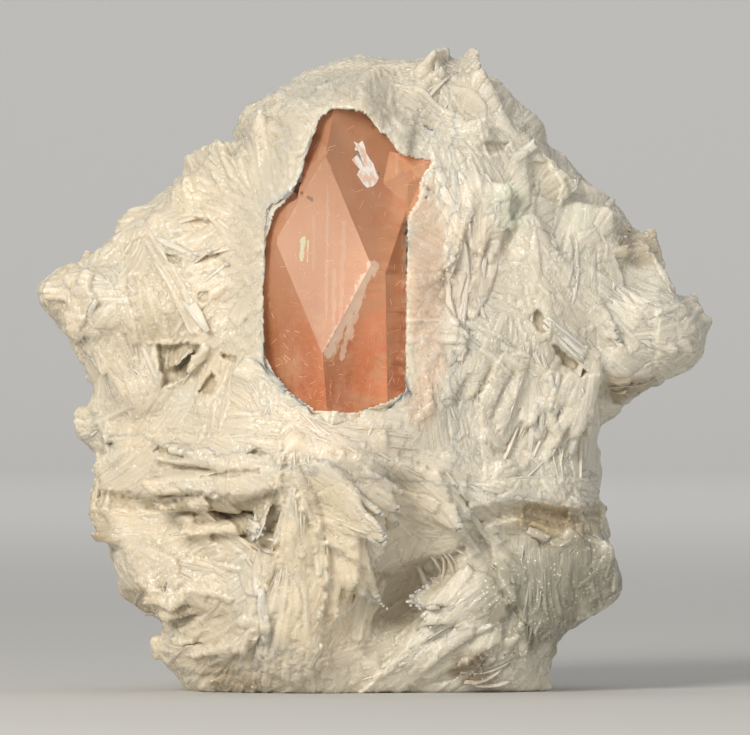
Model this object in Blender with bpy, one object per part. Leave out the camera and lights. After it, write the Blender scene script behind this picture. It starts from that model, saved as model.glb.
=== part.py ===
"""A peach morganite crystal seated on a loose plate of bladed white albite, as it grew and was collected.

Metres, +Z up. The crystal faces a viewer who looks along +Y, with +X to the right. The origin is on the
surface that the plate stands on, under the middle of the whole piece. Sizes below are in millimetres.
"""

import math
import random

import bmesh
import bpy
from mathutils import Matrix, Vector, noise

MM = 0.001
SEED = 29

# The plate, seen from the front: its edge as (x, z), clockwise from the tip of the left wing. The lowest
# stretch runs below the floor, where the flat foot is cut.
EDGE = [
    (-57.0, 66.5), (-53.7, 70.3), (-48.2, 72.5), (-46.0, 75.5), (-40.7, 80.3), (-36.8, 81.8),
    (-30.2, 88.0), (-24.3, 91.3), (-21.5, 97.7), (-17.3, 100.7), (-10.5, 104.6), (-4.8, 106.0),
    (1.0, 107.0), (6.7, 108.0), (12.2, 107.0), (18.7, 105.0), (21.8, 100.7), (26.5, 96.5),
    (29.7, 91.2), (34.6, 86.8), (38.5, 83.5), (43.3, 78.5), (46.8, 74.0), (46.7, 69.7),
    (49.8, 66.7), (55.3, 65.2), (57.0, 61.2), (54.3, 54.7), (50.2, 50.8), (43.3, 48.2),
    (39.7, 45.7), (38.3, 39.7), (38.8, 31.0), (40.5, 20.2), (42.2, 15.5), (37.5, 10.9),
    (32.0, 7.5), (29.5, 0.0), (24.0, -6.0), (2.0, -8.0), (-25.0, -7.0), (-31.5, -1.5),
    (-36.3, 4.5), (-35.2, 10.0), (-42.3, 15.5), (-43.8, 23.5), (-48.3, 27.0), (-46.6, 35.0),
    (-45.6, 41.9), (-47.5, 47.0), (-46.7, 51.2), (-50.2, 57.2), (-53.2, 61.3),
]  # fmt: skip
HEART = (-1.0, 53.0)
EDGE_INSET = 0.965
FRONT_DEPTH = 19.0
BACK_DEPTH = 25.0
RIM_POWER = 3.0
ROUGHNESS = {16.0: 2.6, 7.0: 1.7}
BODY_RATIO = 0.17
PLATE_TRIANGLES = 9300

# Swellings and hollows of the front: centre x, z, half widths along x and z, and rise towards the viewer.
FRONT_RELIEF = [
    ("collar under the crystal", -5.2, 40.5, 17.0, 8.0, 11.0),
    ("collar left of the crystal", -20.0, 50.0, 5.0, 9.0, 5.0),
    ("sheaf left of the middle", -11.5, 20.0, 9.0, 17.0, 8.0),
    ("lower left knob", -33.0, 14.0, 12.0, 9.0, 3.0),
    ("cave at the bottom", 5.0, 15.0, 9.0, 8.0, -10.0),
    ("shade under the ledge", 23.0, 25.0, 14.0, 3.5, -4.5),
    ("striped block", 27.0, 13.0, 12.0, 9.0, 3.0),
    ("groove at the left", -39.0, 31.0, 12.0, 3.5, -5.0),
    ("pocket in the left wing", -33.5, 55.0, 4.0, 4.0, -5.0),
    ("pocket above the left wing", -22.0, 82.7, 4.0, 4.0, -4.0),
    ("shoulder right of the crystal", 12.3, 73.5, 12.0, 16.0, 3.0),
    ("slot in the right wing", 32.3, 56.8, 6.0, 3.0, -5.0),
    ("knob of the right wing", 52.3, 60.0, 7.0, 6.0, 6.0),
    ("undercut of the right wing", 44.0, 49.0, 6.0, 4.0, -4.0),
    ("tip of the left wing", -51.0, 67.0, 7.0, 6.0, 3.0),
    ("left shoulder", -37.7, 67.0, 10.0, 10.0, 3.0),
    ("seat behind the crystal's top", -6.0, 90.0, 17.0, 14.0, 7.0),
    ("upper right shoulder", 24.0, 84.0, 12.0, 10.0, 3.0),
]
BACK_RELIEF = [
    ("upper hump", -8.0, 80.0, 20.0, 14.0, 3.0),
    ("lower hump", 8.0, 26.0, 20.0, 16.0, 4.0),
    ("foot at the back", 0.0, 4.0, 26.0, 9.0, 3.0),
    ("left hollow", -32.0, 50.0, 12.0, 12.0, -6.0),
    ("right hollow", 34.0, 58.0, 10.0, 10.0, -4.0),
]

# Fans of albite blades on the front: root x, z; heading in the picture, in degrees from +X towards +Z; how
# far the fan opens; blade count, length and width; lift towards the viewer; roll, where 0 shows the blades'
# edges and 90 their broad faces.
FANS = [
    # left wing
    (-44.5, 66.5, 180, 60, 5, 12.5, 8, 4, 40),
    (-41.0, 76.5, 200, 40, 3, 8.5, 7, 6, 50),
    (-45.5, 63.0, 228, 40, 4, 9.0, 7, 8, 40),
    (-36.5, 75.0, 302, 6, 2, 18.0, 6, 14, 5),
    (-45.5, 64.5, 245, 10, 2, 9.5, 5, 14, 10),
    (-35.5, 76.5, 330, 12, 2, 8.0, 6, 10, 30),
    (-42.0, 73.0, 296, 24, 3, 17.0, 12, 6, 75),
    (-45.0, 58.0, 300, 24, 4, 12.0, 7, 6, 30),
    (-37.0, 49.5, 57, 14, 3, 13.0, 6, 8, 20),
    (-38.0, 50.0, 104, 12, 2, 11.0, 6, 8, 20),
    (-26.0, 60.0, 236, 16, 3, 12.0, 7, 8, 30),
    (-18.0, 74.5, 216, 34, 5, 16.0, 9, 8, 40),
    (-18.5, 64.0, 224, 24, 3, 11.0, 8, 6, 35),
    (-21.0, 79.0, 205, 24, 3, 13.0, 8, 6, 45),
    # upper left and top
    (-18.5, 82.5, 104, 22, 4, 16.0, 7, 6, 30),
    (-19.5, 80.0, 142, 34, 4, 15.0, 8, 6, 40),
    (-30.0, 78.5, 120, 36, 3, 9.0, 7, 6, 50),
    (-10.0, 92.0, 148, 34, 5, 13.5, 8, 6, 30),
    (-8.5, 96.5, 118, 30, 3, 8.5, 7, 6, 50),
    (-1.0, 97.0, 100, 40, 4, 9.5, 8, 4, 50),
    (8.0, 98.5, 85, 50, 4, 9.0, 8, 4, 50),
    (15.5, 97.0, 55, 46, 4, 9.5, 8, 4, 50),
    # upper right
    (21.0, 90.0, 35, 40, 4, 9.5, 8, 4, 45),
    (26.5, 82.5, 40, 40, 4, 11.0, 8, 6, 45),
    (36.0, 74.0, 30, 44, 4, 11.5, 8, 4, 45),
    (20.5, 84.5, 50, 6, 1, 8.5, 4, 24, 10),
    (13.5, 91.5, 288, 30, 3, 12.0, 10, 2, 75),
    (16.0, 83.0, 262, 24, 3, 20.0, 13, 4, 78),
    (25.0, 76.0, 300, 12, 3, 17.0, 8, 8, 30),
    (7.0, 68.0, 330, 34, 4, 19.0, 9, 4, 50),
    (1.0, 102.5, 262, 30, 3, 13.0, 11, 3, 80),
    (13.0, 98.0, 300, 36, 3, 14.0, 11, 3, 78),
    (25.0, 88.0, 232, 30, 3, 12.0, 10, 3, 70),
    (34.0, 79.0, 262, 30, 3, 13.0, 11, 3, 75),
    (24.0, 70.0, 285, 30, 3, 12.0, 10, 3, 75),
    (-30.0, 82.0, 320, 30, 3, 12.0, 10, 3, 70),
    # right wing
    (28.5, 62.0, 315, 10, 3, 11.0, 6, 10, 25),
    (44.0, 60.0, 8, 70, 6, 12.5, 9, 4, 40),
    (40.5, 54.5, 328, 44, 4, 11.0, 8, 2, 40),
    (35.0, 67.0, 325, 34, 3, 12.0, 9, 4, 60),
    (26.0, 59.0, 270, 44, 5, 18.0, 9, 6, 25),
    (34.0, 54.0, 252, 34, 5, 17.5, 9, 6, 35),
    (17.5, 60.0, 250, 30, 4, 14.0, 8, 8, 40),
    # around the foot of the crystal
    (-27.0, 44.0, 350, 30, 3, 12.0, 9, 4, 50),
    (-20.5, 52.0, 330, 22, 4, 20.0, 9, 3, 35),
    (-13.5, 45.5, 344, 24, 4, 20.0, 9, 4, 40),
    (10.0, 45.0, 100, 20, 3, 13.0, 7, 8, 25),
    (6.0, 61.5, 300, 20, 4, 16.0, 8, 10, 30),
    (-1.5, 42.0, 60, 60, 4, 6.5, 6, 4, 60),
    (-9.5, 42.5, 105, 50, 4, 6.0, 6, 4, 60),
    (-17.5, 46.0, 100, 50, 3, 7.0, 6, 4, 60),
    (4.5, 44.0, 60, 50, 3, 7.0, 6, 4, 50),
    # bands at the left
    (-46.0, 43.5, 0, 10, 4, 28.0, 9, 2, 15),
    (-15.5, 36.5, 180, 14, 5, 28.0, 9, 2, 12),
    (-14.0, 31.5, 182, 8, 3, 28.0, 9, 1, 12),
    (-33.5, 34.0, 324, 12, 3, 20.0, 8, 5, 20),
    (-43.5, 36.5, 38, 12, 2, 9.0, 6, 6, 30),
    # lower left
    (-39.0, 26.5, 190, 50, 4, 9.0, 8, 4, 50),
    (-38.0, 22.0, 328, 34, 4, 15.0, 9, 6, 50),
    (-24.5, 17.5, 216, 44, 4, 17.0, 9, 4, 45),
    (-23.0, 11.0, 202, 30, 4, 13.5, 8, 2, 40),
    (-34.0, 22.5, 252, 30, 3, 11.0, 8, 4, 50),
    # sheaf left of the middle
    (-13.0, 41.0, 264, 22, 5, 22.0, 8, 6, 15),
    (-14.0, 28.0, 262, 26, 6, 23.0, 9, 5, 15),
    (-7.5, 27.5, 286, 28, 5, 19.0, 9, 5, 25),
    (-16.0, 15.5, 250, 26, 4, 14.0, 8, 2, 25),
    (-18.5, 24.0, 268, 4, 1, 17.0, 5, 12, 0),
    (-1.0, 17.5, 248, 14, 2, 10.0, 7, 8, 20),
    # ledge under the crystal
    (-8.0, 37.5, 330, 34, 5, 18.0, 10, 8, 40),
    (-5.0, 33.0, 300, 38, 5, 16.0, 10, 8, 45),
    (10.0, 35.5, 322, 28, 4, 14.0, 9, 8, 45),
    (20.0, 33.0, 350, 24, 4, 18.5, 9, 6, 45),
    (30.0, 33.5, 338, 20, 3, 9.0, 8, 8, 40),
    # bottom
    (9.0, 9.5, 202, 30, 4, 17.0, 9, 2, 45),
    (19.5, 19.0, 216, 20, 4, 21.0, 9, 6, 50),
    (8.0, 20.5, 286, 4, 1, 5.0, 3, 30, 10),
    (26.0, 25.5, 270, 16, 5, 17.0, 10, 3, 60),
    (35.5, 23.0, 276, 20, 4, 13.0, 10, 2, 55),
    (21.0, 11.0, 264, 44, 4, 10.0, 8, 2, 40),
    (28.5, 8.0, 278, 30, 2, 6.5, 5, 2, 30),
]
BLADE_THICKNESS = (0.9, 1.5)
BLADE_SINK = 2.5
BLADE_FOLLOW = 0.6
TIP_WIDTH = (0.25, 0.6)
TIP_THICKNESS = 0.45
TRIM = 0.85
MOST_TRIMS = 9
SCATTERED_FANS = 150
FRONT_LEFT_BARE = -0.30
SCATTERED_BLADES = 2

# The morganite: where its middle is, then its faces as azimuth, elevation and distance from that middle.
# Azimuth 0 faces the viewer and 90 faces +X.
CRYSTAL_MIDDLE = (-6.8, -18.5, 71.8)
CRYSTAL_BLANK = 80.0
CRYSTAL_FACES = {
    "bright_rhomb": (3.7, 4.3, 10.7),
    "lower_left_prism": (-35.5, -11.4, 13.5),
    "lower_right_prism": (25.5, -7.6, 12.15),
    "upper_right_pyramid": (37.6, 16.3, 11.47),
    "upper_left_pyramid": (-43.9, 26.1, 14.35),
    "left_sliver": (-63.4, 3.9, 13.2),
    "right_prism": (66.0, -2.8, 11.85),
    "right_side": (93.0, 0.0, 12.2),
    "left_side": (-92.0, 0.0, 11.2),
    "upper_right_side": (94.0, 35.9, 19.3),
    "crown_right": (96.0, 54.1, 22.5),
    "crown": (180.0, 82.0, 23.9),
    "back": (170.0, -4.0, 12.0),
    "back_left": (-140.0, -2.0, 14.0),
    "lower_left_corner": (-90.0, -40.8, 20.5),
    "foot": (0.0, -90.0, 30.0),
}
# The crystal is two blocks grown side by side. The tall one stops short of the left shoulder, which is the other.
TALL_BLOCK_FACES = {
    "left_side_of_tall_block": (-90.0, 11.2, 7.5),
    "slope_to_crown": (-94.0, 26.6, 12.1),
    "crown_left": (-96.0, 56.8, 20.3),
}
SHOULDER_FACES = {
    "top_of_shoulder": (-80.0, 58.4, 12.4),
}
SHOULDER_INSET = 0.04
HORN = {
    "tip": (16.4, 16.3, 2.0),
    "upper root": (8.5, 18.2, 1.0),
    "elbow": (14.3, 9.8, 2.0),
    "lower root": (11.6, 5.5, 1.5),
    "front root": (8.0, 12.5, 4.0),
    "back root": (8.0, 13.0, -3.0),
}
SIDE_CRYSTAL = (6.0, -19.0, 44.0)
SIDE_CRYSTAL_RADIUS = 3.1
SIDE_CRYSTAL_HEIGHT = 12.0
SEAT_GAP = 0.3


def clear_scene():
    for obj in list(bpy.data.objects):
        bpy.data.objects.remove(obj, do_unlink=True)


def collection(name):
    made = bpy.data.collections.new(name)
    bpy.context.scene.collection.children.link(made)
    return made


def add_object(bm, name, home):
    """The bmesh, in millimetres, as an object in metres."""
    bmesh.ops.scale(bm, vec=(MM, MM, MM), verts=bm.verts)
    bmesh.ops.recalc_face_normals(bm, faces=bm.faces)
    mesh = bpy.data.meshes.new(name)
    bm.to_mesh(mesh)
    bm.free()
    obj = bpy.data.objects.new(name, mesh)
    home.objects.link(obj)
    return obj


def as_cutter(obj):
    obj.hide_render = True
    obj.display_type = "WIRE"
    return obj


def boolean(obj, other, operation, solver="EXACT", self_crossing=False):
    made = obj.modifiers.new(f"{operation.lower()} {other.name}", "BOOLEAN")
    made.operation = operation
    made.object = other
    made.solver = solver
    made.use_self = self_crossing


def outer_shell(obj):
    """The object as its modifiers leave it, without the chips and sealed voids that unions leave behind."""
    graph = bpy.context.evaluated_depsgraph_get()
    mesh = bpy.data.meshes.new_from_object(obj.evaluated_get(graph))
    bm = bmesh.new()
    bm.from_mesh(mesh)
    bmesh.ops.triangulate(bm, faces=bm.faces)
    unseen = set(bm.verts)
    shells = []
    while unseen:
        front = [unseen.pop()]
        shell = []
        while front:
            vert = front.pop()
            shell.append(vert)
            for edge in vert.link_edges:
                other = edge.other_vert(vert)
                if other in unseen:
                    unseen.remove(other)
                    front.append(other)
        shells.append(shell)
    shells.sort(key=len)
    for shell in shells[:-1]:
        bmesh.ops.delete(bm, geom=shell, context="VERTS")
    bm.to_mesh(mesh)
    bm.free()
    obj.modifiers.clear()
    obj.data = mesh


def thin_out(obj, triangles):
    """Collapses the shortest edges, such as those along the crossings of blades, down to this many triangles."""
    facets = obj.modifiers.new("fewer facets", "DECIMATE")
    facets.ratio = min(1.0, triangles / len(obj.data.polygons))


def surface(name, colour, roughness, transmission=0.0):
    made = bpy.data.materials.new(name)
    made.use_nodes = True
    shader = made.node_tree.nodes["Principled BSDF"]
    shader.inputs["Base Color"].default_value = (*colour, 1.0)
    shader.inputs["Roughness"].default_value = roughness
    shader.inputs["Transmission Weight"].default_value = transmission
    return made


# The plate's body


def polar_edge():
    """The edge as (angle, distance) from the heart, sorted by angle."""
    points = []
    for x, z in EDGE:
        dx, dz = x - HEART[0], z - HEART[1]
        points.append((math.atan2(dz, dx), math.hypot(dx, dz)))
    points.sort()
    first, last = points[0], points[-1]
    turn = 2 * math.pi
    return [(last[0] - turn, last[1]), *points, (first[0] + turn, first[1])]


def reach(angle, edge):
    """How far the plate reaches from its heart in that direction."""
    for (a, near), (b, far) in zip(edge, edge[1:]):
        if a <= angle <= b:
            share = (angle - a) / (b - a)
            return near + (far - near) * share
    return edge[-1][1]


def relief(table, x, z):
    return sum(
        rise * math.exp(-(((x - cx) / wide) ** 2) - ((z - cz) / high) ** 2)
        for _, cx, cz, wide, high, rise in table
    )


def rim(share):
    """Depth left at this share of the way from the heart to the edge, from 1 down to 0."""
    return math.sqrt(max(0.0, 1.0 - share**RIM_POWER))


def depth_at(x, z, edge):
    """The body's y at (x, z) on its front."""
    dx, dz = x - HEART[0], z - HEART[1]
    share = math.hypot(dx, dz) / (reach(math.atan2(dz, dx), edge) * EDGE_INSET)
    return -rim(min(1.0, share)) * (FRONT_DEPTH + relief(FRONT_RELIEF, x, z))


def skin(way, edge):
    """The point of the body's surface in this direction of the ball that it is stretched from."""
    share = math.hypot(way.x, way.z)
    angle = math.atan2(way.z, way.x)
    out = reach(angle, edge) * EDGE_INSET * share
    x = HEART[0] + out * math.cos(angle)
    z = HEART[1] + out * math.sin(angle)
    table, depth = (BACK_RELIEF, BACK_DEPTH) if way.y > 0 else (FRONT_RELIEF, FRONT_DEPTH)
    y = math.copysign(rim(share) * (depth + relief(table, x, z)), way.y)
    return Vector((x, y, z))


def skin_normal(way, edge):
    """The way out of the body there, from two short steps along its surface."""
    side = way.orthogonal().normalized()
    here = skin(way, edge)
    steps = [skin((way + 0.05 * turn).normalized(), edge) - here for turn in (side, way.cross(side))]
    out = steps[0].cross(steps[1]).normalized()
    return out if out.dot(here - Vector((HEART[0], 0.0, HEART[1]))) > 0 else -out


def plate_body(edge, home):
    """A ball whose girth is stretched to the plate's edge and whose two faces take the relief."""
    bm = bmesh.new()
    bmesh.ops.create_icosphere(bm, subdivisions=6, radius=1.0)
    for vert in bm.verts:
        vert.co = skin(vert.co.normalized(), edge)
        for step, rise in ROUGHNESS.items():
            vert.co += noise.noise_vector(vert.co / step) * rise
    body = add_object(bm, "albite_plate", home)
    facets = body.modifiers.new("broken facets", "DECIMATE")
    facets.ratio = BODY_RATIO
    return body


# The blades


def add_blade(bm, root, along, across, length, width, thickness, tip_width):
    """A thin slab from its root outwards, narrower and thinner at its tip."""
    along, across = along.normalized(), across.normalized()
    through = along.cross(across)
    turn = Matrix((along, across, through)).transposed().to_4x4()
    corners = bmesh.ops.create_cube(bm, size=1.0)["verts"]
    for vert in corners:
        far = vert.co.x > 0
        vert.co.x = length if far else -BLADE_SINK
        vert.co.y *= width * (tip_width if far else 1.0)
        vert.co.z *= thickness * (TIP_THICKNESS if far else 1.0)
    bmesh.ops.transform(bm, matrix=Matrix.Translation(root) @ turn, verts=corners)


def within_edge(start, along, length, edge):
    """The length shortened until its tip is no further out than the plate's edge."""
    for _ in range(MOST_TRIMS):
        tip = start + along * length
        dx, dz = tip.x - HEART[0], tip.z - HEART[1]
        if math.hypot(dx, dz) <= reach(math.atan2(dz, dx), edge):
            break
        length *= TRIM
    return length


def add_fan(bm, edge, root, heading, out, spread, count, length, width, roll, draw):
    """Blades that share a root line and open like the pages of a book."""
    side = out.cross(heading).normalized()
    spine = out * math.cos(roll) + side * math.sin(roll)
    for page in range(count):
        share = page / (count - 1) - 0.5 if count > 1 else 0.0
        angle = spread * share + draw.uniform(-0.04, 0.04)
        along = Matrix.Rotation(angle, 3, spine) @ heading
        across = Matrix.Rotation(draw.uniform(-0.18, 0.18), 3, along) @ spine
        start = root + spine * draw.uniform(-0.8, 0.8) + side * share * width * 0.5
        add_blade(
            bm, start, along, across,
            within_edge(start, along, length * draw.uniform(0.82, 1.0), edge),
            width * draw.uniform(0.8, 1.1),
            draw.uniform(*BLADE_THICKNESS),
            draw.uniform(*TIP_WIDTH),
        )  # fmt: skip


def blades(edge, home):
    """All the fans in one mesh: those placed by hand on the front, then a scatter over the back."""
    draw = random.Random(SEED)
    bm = bmesh.new()
    for x, z, heading, spread, count, length, width, lift, roll in FANS:
        root = Vector((x, depth_at(x, z, edge) + 1.0, z))
        flat = Vector((math.cos(math.radians(heading)), 0.0, math.sin(math.radians(heading))))
        end = root + flat * length
        fall = (depth_at(end.x, end.z, edge) - root.y) * BLADE_FOLLOW
        viewer = Vector((0.0, -1.0, 0.0))
        tilt = math.radians(lift) - math.atan2(fall, length)
        way = flat * math.cos(tilt) + viewer * math.sin(tilt)
        out = viewer * math.cos(tilt) - flat * math.sin(tilt)
        spread, roll = math.radians(spread), math.radians(roll)
        add_fan(bm, edge, root, way, out, spread, count, length, width, roll, draw)
    golden = math.pi * (3.0 - math.sqrt(5.0))
    for number in range(SCATTERED_FANS):
        height = 1.0 - 2.0 * (number + 0.5) / SCATTERED_FANS
        girth = math.sqrt(1.0 - height**2)
        way = Vector((girth * math.cos(number * golden), -height, girth * math.sin(number * golden)))
        if way.y < FRONT_LEFT_BARE:
            continue
        out = skin_normal(way, edge)
        level = out.orthogonal().normalized()
        heading = Matrix.Rotation(draw.uniform(0, 2 * math.pi), 3, out) @ level
        tilt = math.radians(draw.uniform(3, 14))
        add_fan(
            bm,
            edge,
            skin(way, edge) - out,
            heading * math.cos(tilt) + out * math.sin(tilt),
            out * math.cos(tilt) - heading * math.sin(tilt),
            math.radians(draw.uniform(16, 40)),
            SCATTERED_BLADES,
            draw.uniform(10, 16),
            draw.uniform(6, 10),
            math.radians(draw.uniform(20, 75)),
            draw,
        )
    return as_cutter(add_object(bm, "blades", home))


# The crystal


def facing(azimuth, elevation):
    a, e = math.radians(azimuth), math.radians(elevation)
    return Vector((math.sin(a) * math.cos(e), -math.cos(a) * math.cos(e), math.sin(e)))


def cut_block(faces, extra):
    """A block cut down to these faces, each moved out by extra."""
    bm = bmesh.new()
    bmesh.ops.create_cube(bm, size=CRYSTAL_BLANK)
    for azimuth, elevation, distance in faces.values():
        way = facing(azimuth, elevation)
        cut = bmesh.ops.bisect_plane(
            bm,
            geom=bm.verts[:] + bm.edges[:] + bm.faces[:],
            plane_co=way * (distance + extra),
            plane_no=way,
            clear_outer=True,
        )
        rim_edges = [item for item in cut["geom_cut"] if isinstance(item, bmesh.types.BMEdge)]
        bmesh.ops.contextual_create(bm, geom=rim_edges)
    bmesh.ops.translate(bm, vec=CRYSTAL_MIDDLE, verts=bm.verts)
    return bm


def horn(extra):
    """The sharp corner that juts out at the upper right, as the hull of its own corners."""
    corners = [Vector(CRYSTAL_MIDDLE) + Vector((x, -forward, z)) for x, z, forward in HORN.values()]
    middle = sum(corners, Vector()) / len(corners)
    bm = bmesh.new()
    for corner in corners:
        bm.verts.new(corner + (corner - middle).normalized() * extra * 2)
    bmesh.ops.convex_hull(bm, input=bm.verts)
    return bm


def side_crystal(extra):
    """The small prism beside the foot of the big one."""
    bm = bmesh.new()
    bmesh.ops.create_cone(
        bm, cap_ends=True, segments=6,
        radius1=SIDE_CRYSTAL_RADIUS + extra, radius2=SIDE_CRYSTAL_RADIUS * 0.92 + extra,
        depth=SIDE_CRYSTAL_HEIGHT + extra,
    )  # fmt: skip
    bmesh.ops.translate(bm, vec=SIDE_CRYSTAL, verts=bm.verts)
    return bm


def crystal(name, home, cutters, extra=0.0):
    made = add_object(cut_block(CRYSTAL_FACES | TALL_BLOCK_FACES, extra), name, home)
    shoulder = cut_block(CRYSTAL_FACES | SHOULDER_FACES, extra - SHOULDER_INSET)
    for shape, what in ((shoulder, "shoulder"), (horn(extra), "horn"), (side_crystal(extra), "side")):
        joined = as_cutter(add_object(shape, f"{name}_{what}", cutters))
        boolean(made, joined, "UNION", solver="MANIFOLD")
    return made


def ground(home):
    """Everything below the floor, which the flat foot of the plate is cut with."""
    bm = bmesh.new()
    bmesh.ops.create_cube(bm, size=200.0)
    bmesh.ops.translate(bm, vec=(0.0, 0.0, -100.0), verts=bm.verts)
    return as_cutter(add_object(bm, "ground", home))


def stand_at_origin(solids):
    """Moves the piece sideways until the origin is under the middle of its box."""
    points = [vert.co for solid in solids for vert in solid.data.vertices]
    low = [min(point[axis] for point in points) for axis in (0, 1)]
    high = [max(point[axis] for point in points) for axis in (0, 1)]
    shift = Vector(((low[0] + high[0]) / -2, (low[1] + high[1]) / -2, 0.0))
    for solid in solids:
        solid.data.transform(Matrix.Translation(shift))


def main():
    clear_scene()
    home = collection("morganite_on_albite")
    cutters = collection("cutters")
    edge = polar_edge()

    plate = plate_body(edge, home)
    boolean(plate, blades(edge, cutters), "UNION", self_crossing=True)
    outer_shell(plate)
    thin_out(plate, PLATE_TRIANGLES)
    boolean(plate, ground(cutters), "DIFFERENCE", solver="MANIFOLD")
    seat = as_cutter(crystal("seat", cutters, cutters, SEAT_GAP))
    boolean(plate, seat, "DIFFERENCE", solver="MANIFOLD")
    outer_shell(plate)
    plate.data.materials.append(surface("white albite", (0.80, 0.74, 0.62), 0.45))

    morganite = crystal("morganite_crystal", home, cutters)
    outer_shell(morganite)
    morganite.data.materials.append(surface("morganite", (0.86, 0.45, 0.28), 0.08, 0.9))
    stand_at_origin([plate, morganite])


main()
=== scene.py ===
import math

import bmesh
import bpy
import numpy as np
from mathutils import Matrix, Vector
from mathutils.bvhtree import BVHTree


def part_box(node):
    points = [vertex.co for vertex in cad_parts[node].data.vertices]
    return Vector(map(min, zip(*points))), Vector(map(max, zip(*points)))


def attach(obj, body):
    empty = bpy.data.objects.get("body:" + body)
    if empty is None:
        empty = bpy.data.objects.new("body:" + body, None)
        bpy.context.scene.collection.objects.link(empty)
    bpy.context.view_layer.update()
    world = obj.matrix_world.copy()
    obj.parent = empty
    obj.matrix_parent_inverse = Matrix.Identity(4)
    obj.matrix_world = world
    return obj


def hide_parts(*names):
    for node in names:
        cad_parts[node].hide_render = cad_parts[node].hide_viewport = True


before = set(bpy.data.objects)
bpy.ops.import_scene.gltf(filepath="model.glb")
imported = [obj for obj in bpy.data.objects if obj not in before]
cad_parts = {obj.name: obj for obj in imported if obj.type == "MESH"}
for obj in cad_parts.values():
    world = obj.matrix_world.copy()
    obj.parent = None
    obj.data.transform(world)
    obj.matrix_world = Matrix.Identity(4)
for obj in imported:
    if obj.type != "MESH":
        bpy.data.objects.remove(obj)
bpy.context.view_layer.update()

# The mass of the matrix: white albite that grew as sheaves of thin blades and healed together into one lump.
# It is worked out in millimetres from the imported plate: the plate's form is taken over, softened, and then
# every fused blade is raised on it as a low, sharp-edged, striated ridge.
MM = 0.001
plate_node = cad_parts["albite_plate"]
crystal_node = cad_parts["morganite_crystal"]
rng = np.random.default_rng(11)

COARSE_VOXEL = 0.55
COARSE_SOFTENING = 60
EVENING = 70
LAP = 3.0
BACK_PLANE = (0.0, 4.0, 0.0)
# The front is parted where the ledge under the crystal and the gap in the bands on its left run.
LEDGE_PLANE = (0.0, 0.0, 36.5)
LEDGE_UP = (0.137, 0.0, 0.99)
LEDGE_DOWN = (-0.137, 0.0, -0.99)
MIDDLE_PLANE = (12.5, 0.0, 0.0)
FRONT_VOXEL = 0.30
FRONT_TRIANGLES = 194000
LEDGE_FLOOR = (LEDGE_PLANE, LEDGE_DOWN)
FRONT_BACK = (BACK_PLANE, (0, 1, 0))
# The mass is made in four lumps that run LAP into one another, so that each keeps to its share of faces:
# name, the planes that bound it as point and outward normal, voxel and triangles.
LUMPS = [
    ("albite_front_left", [FRONT_BACK, LEDGE_FLOOR, (MIDDLE_PLANE, (1, 0, 0))], FRONT_VOXEL, FRONT_TRIANGLES),
    ("albite_front_right", [FRONT_BACK, LEDGE_FLOOR, (MIDDLE_PLANE, (-1, 0, 0))], FRONT_VOXEL,
     FRONT_TRIANGLES),
    ("albite_front_foot", [FRONT_BACK, (LEDGE_PLANE, LEDGE_UP)], FRONT_VOXEL, FRONT_TRIANGLES),
    ("albite_back", [(BACK_PLANE, (0, -1, 0))], 0.46, 120000),
]

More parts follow.
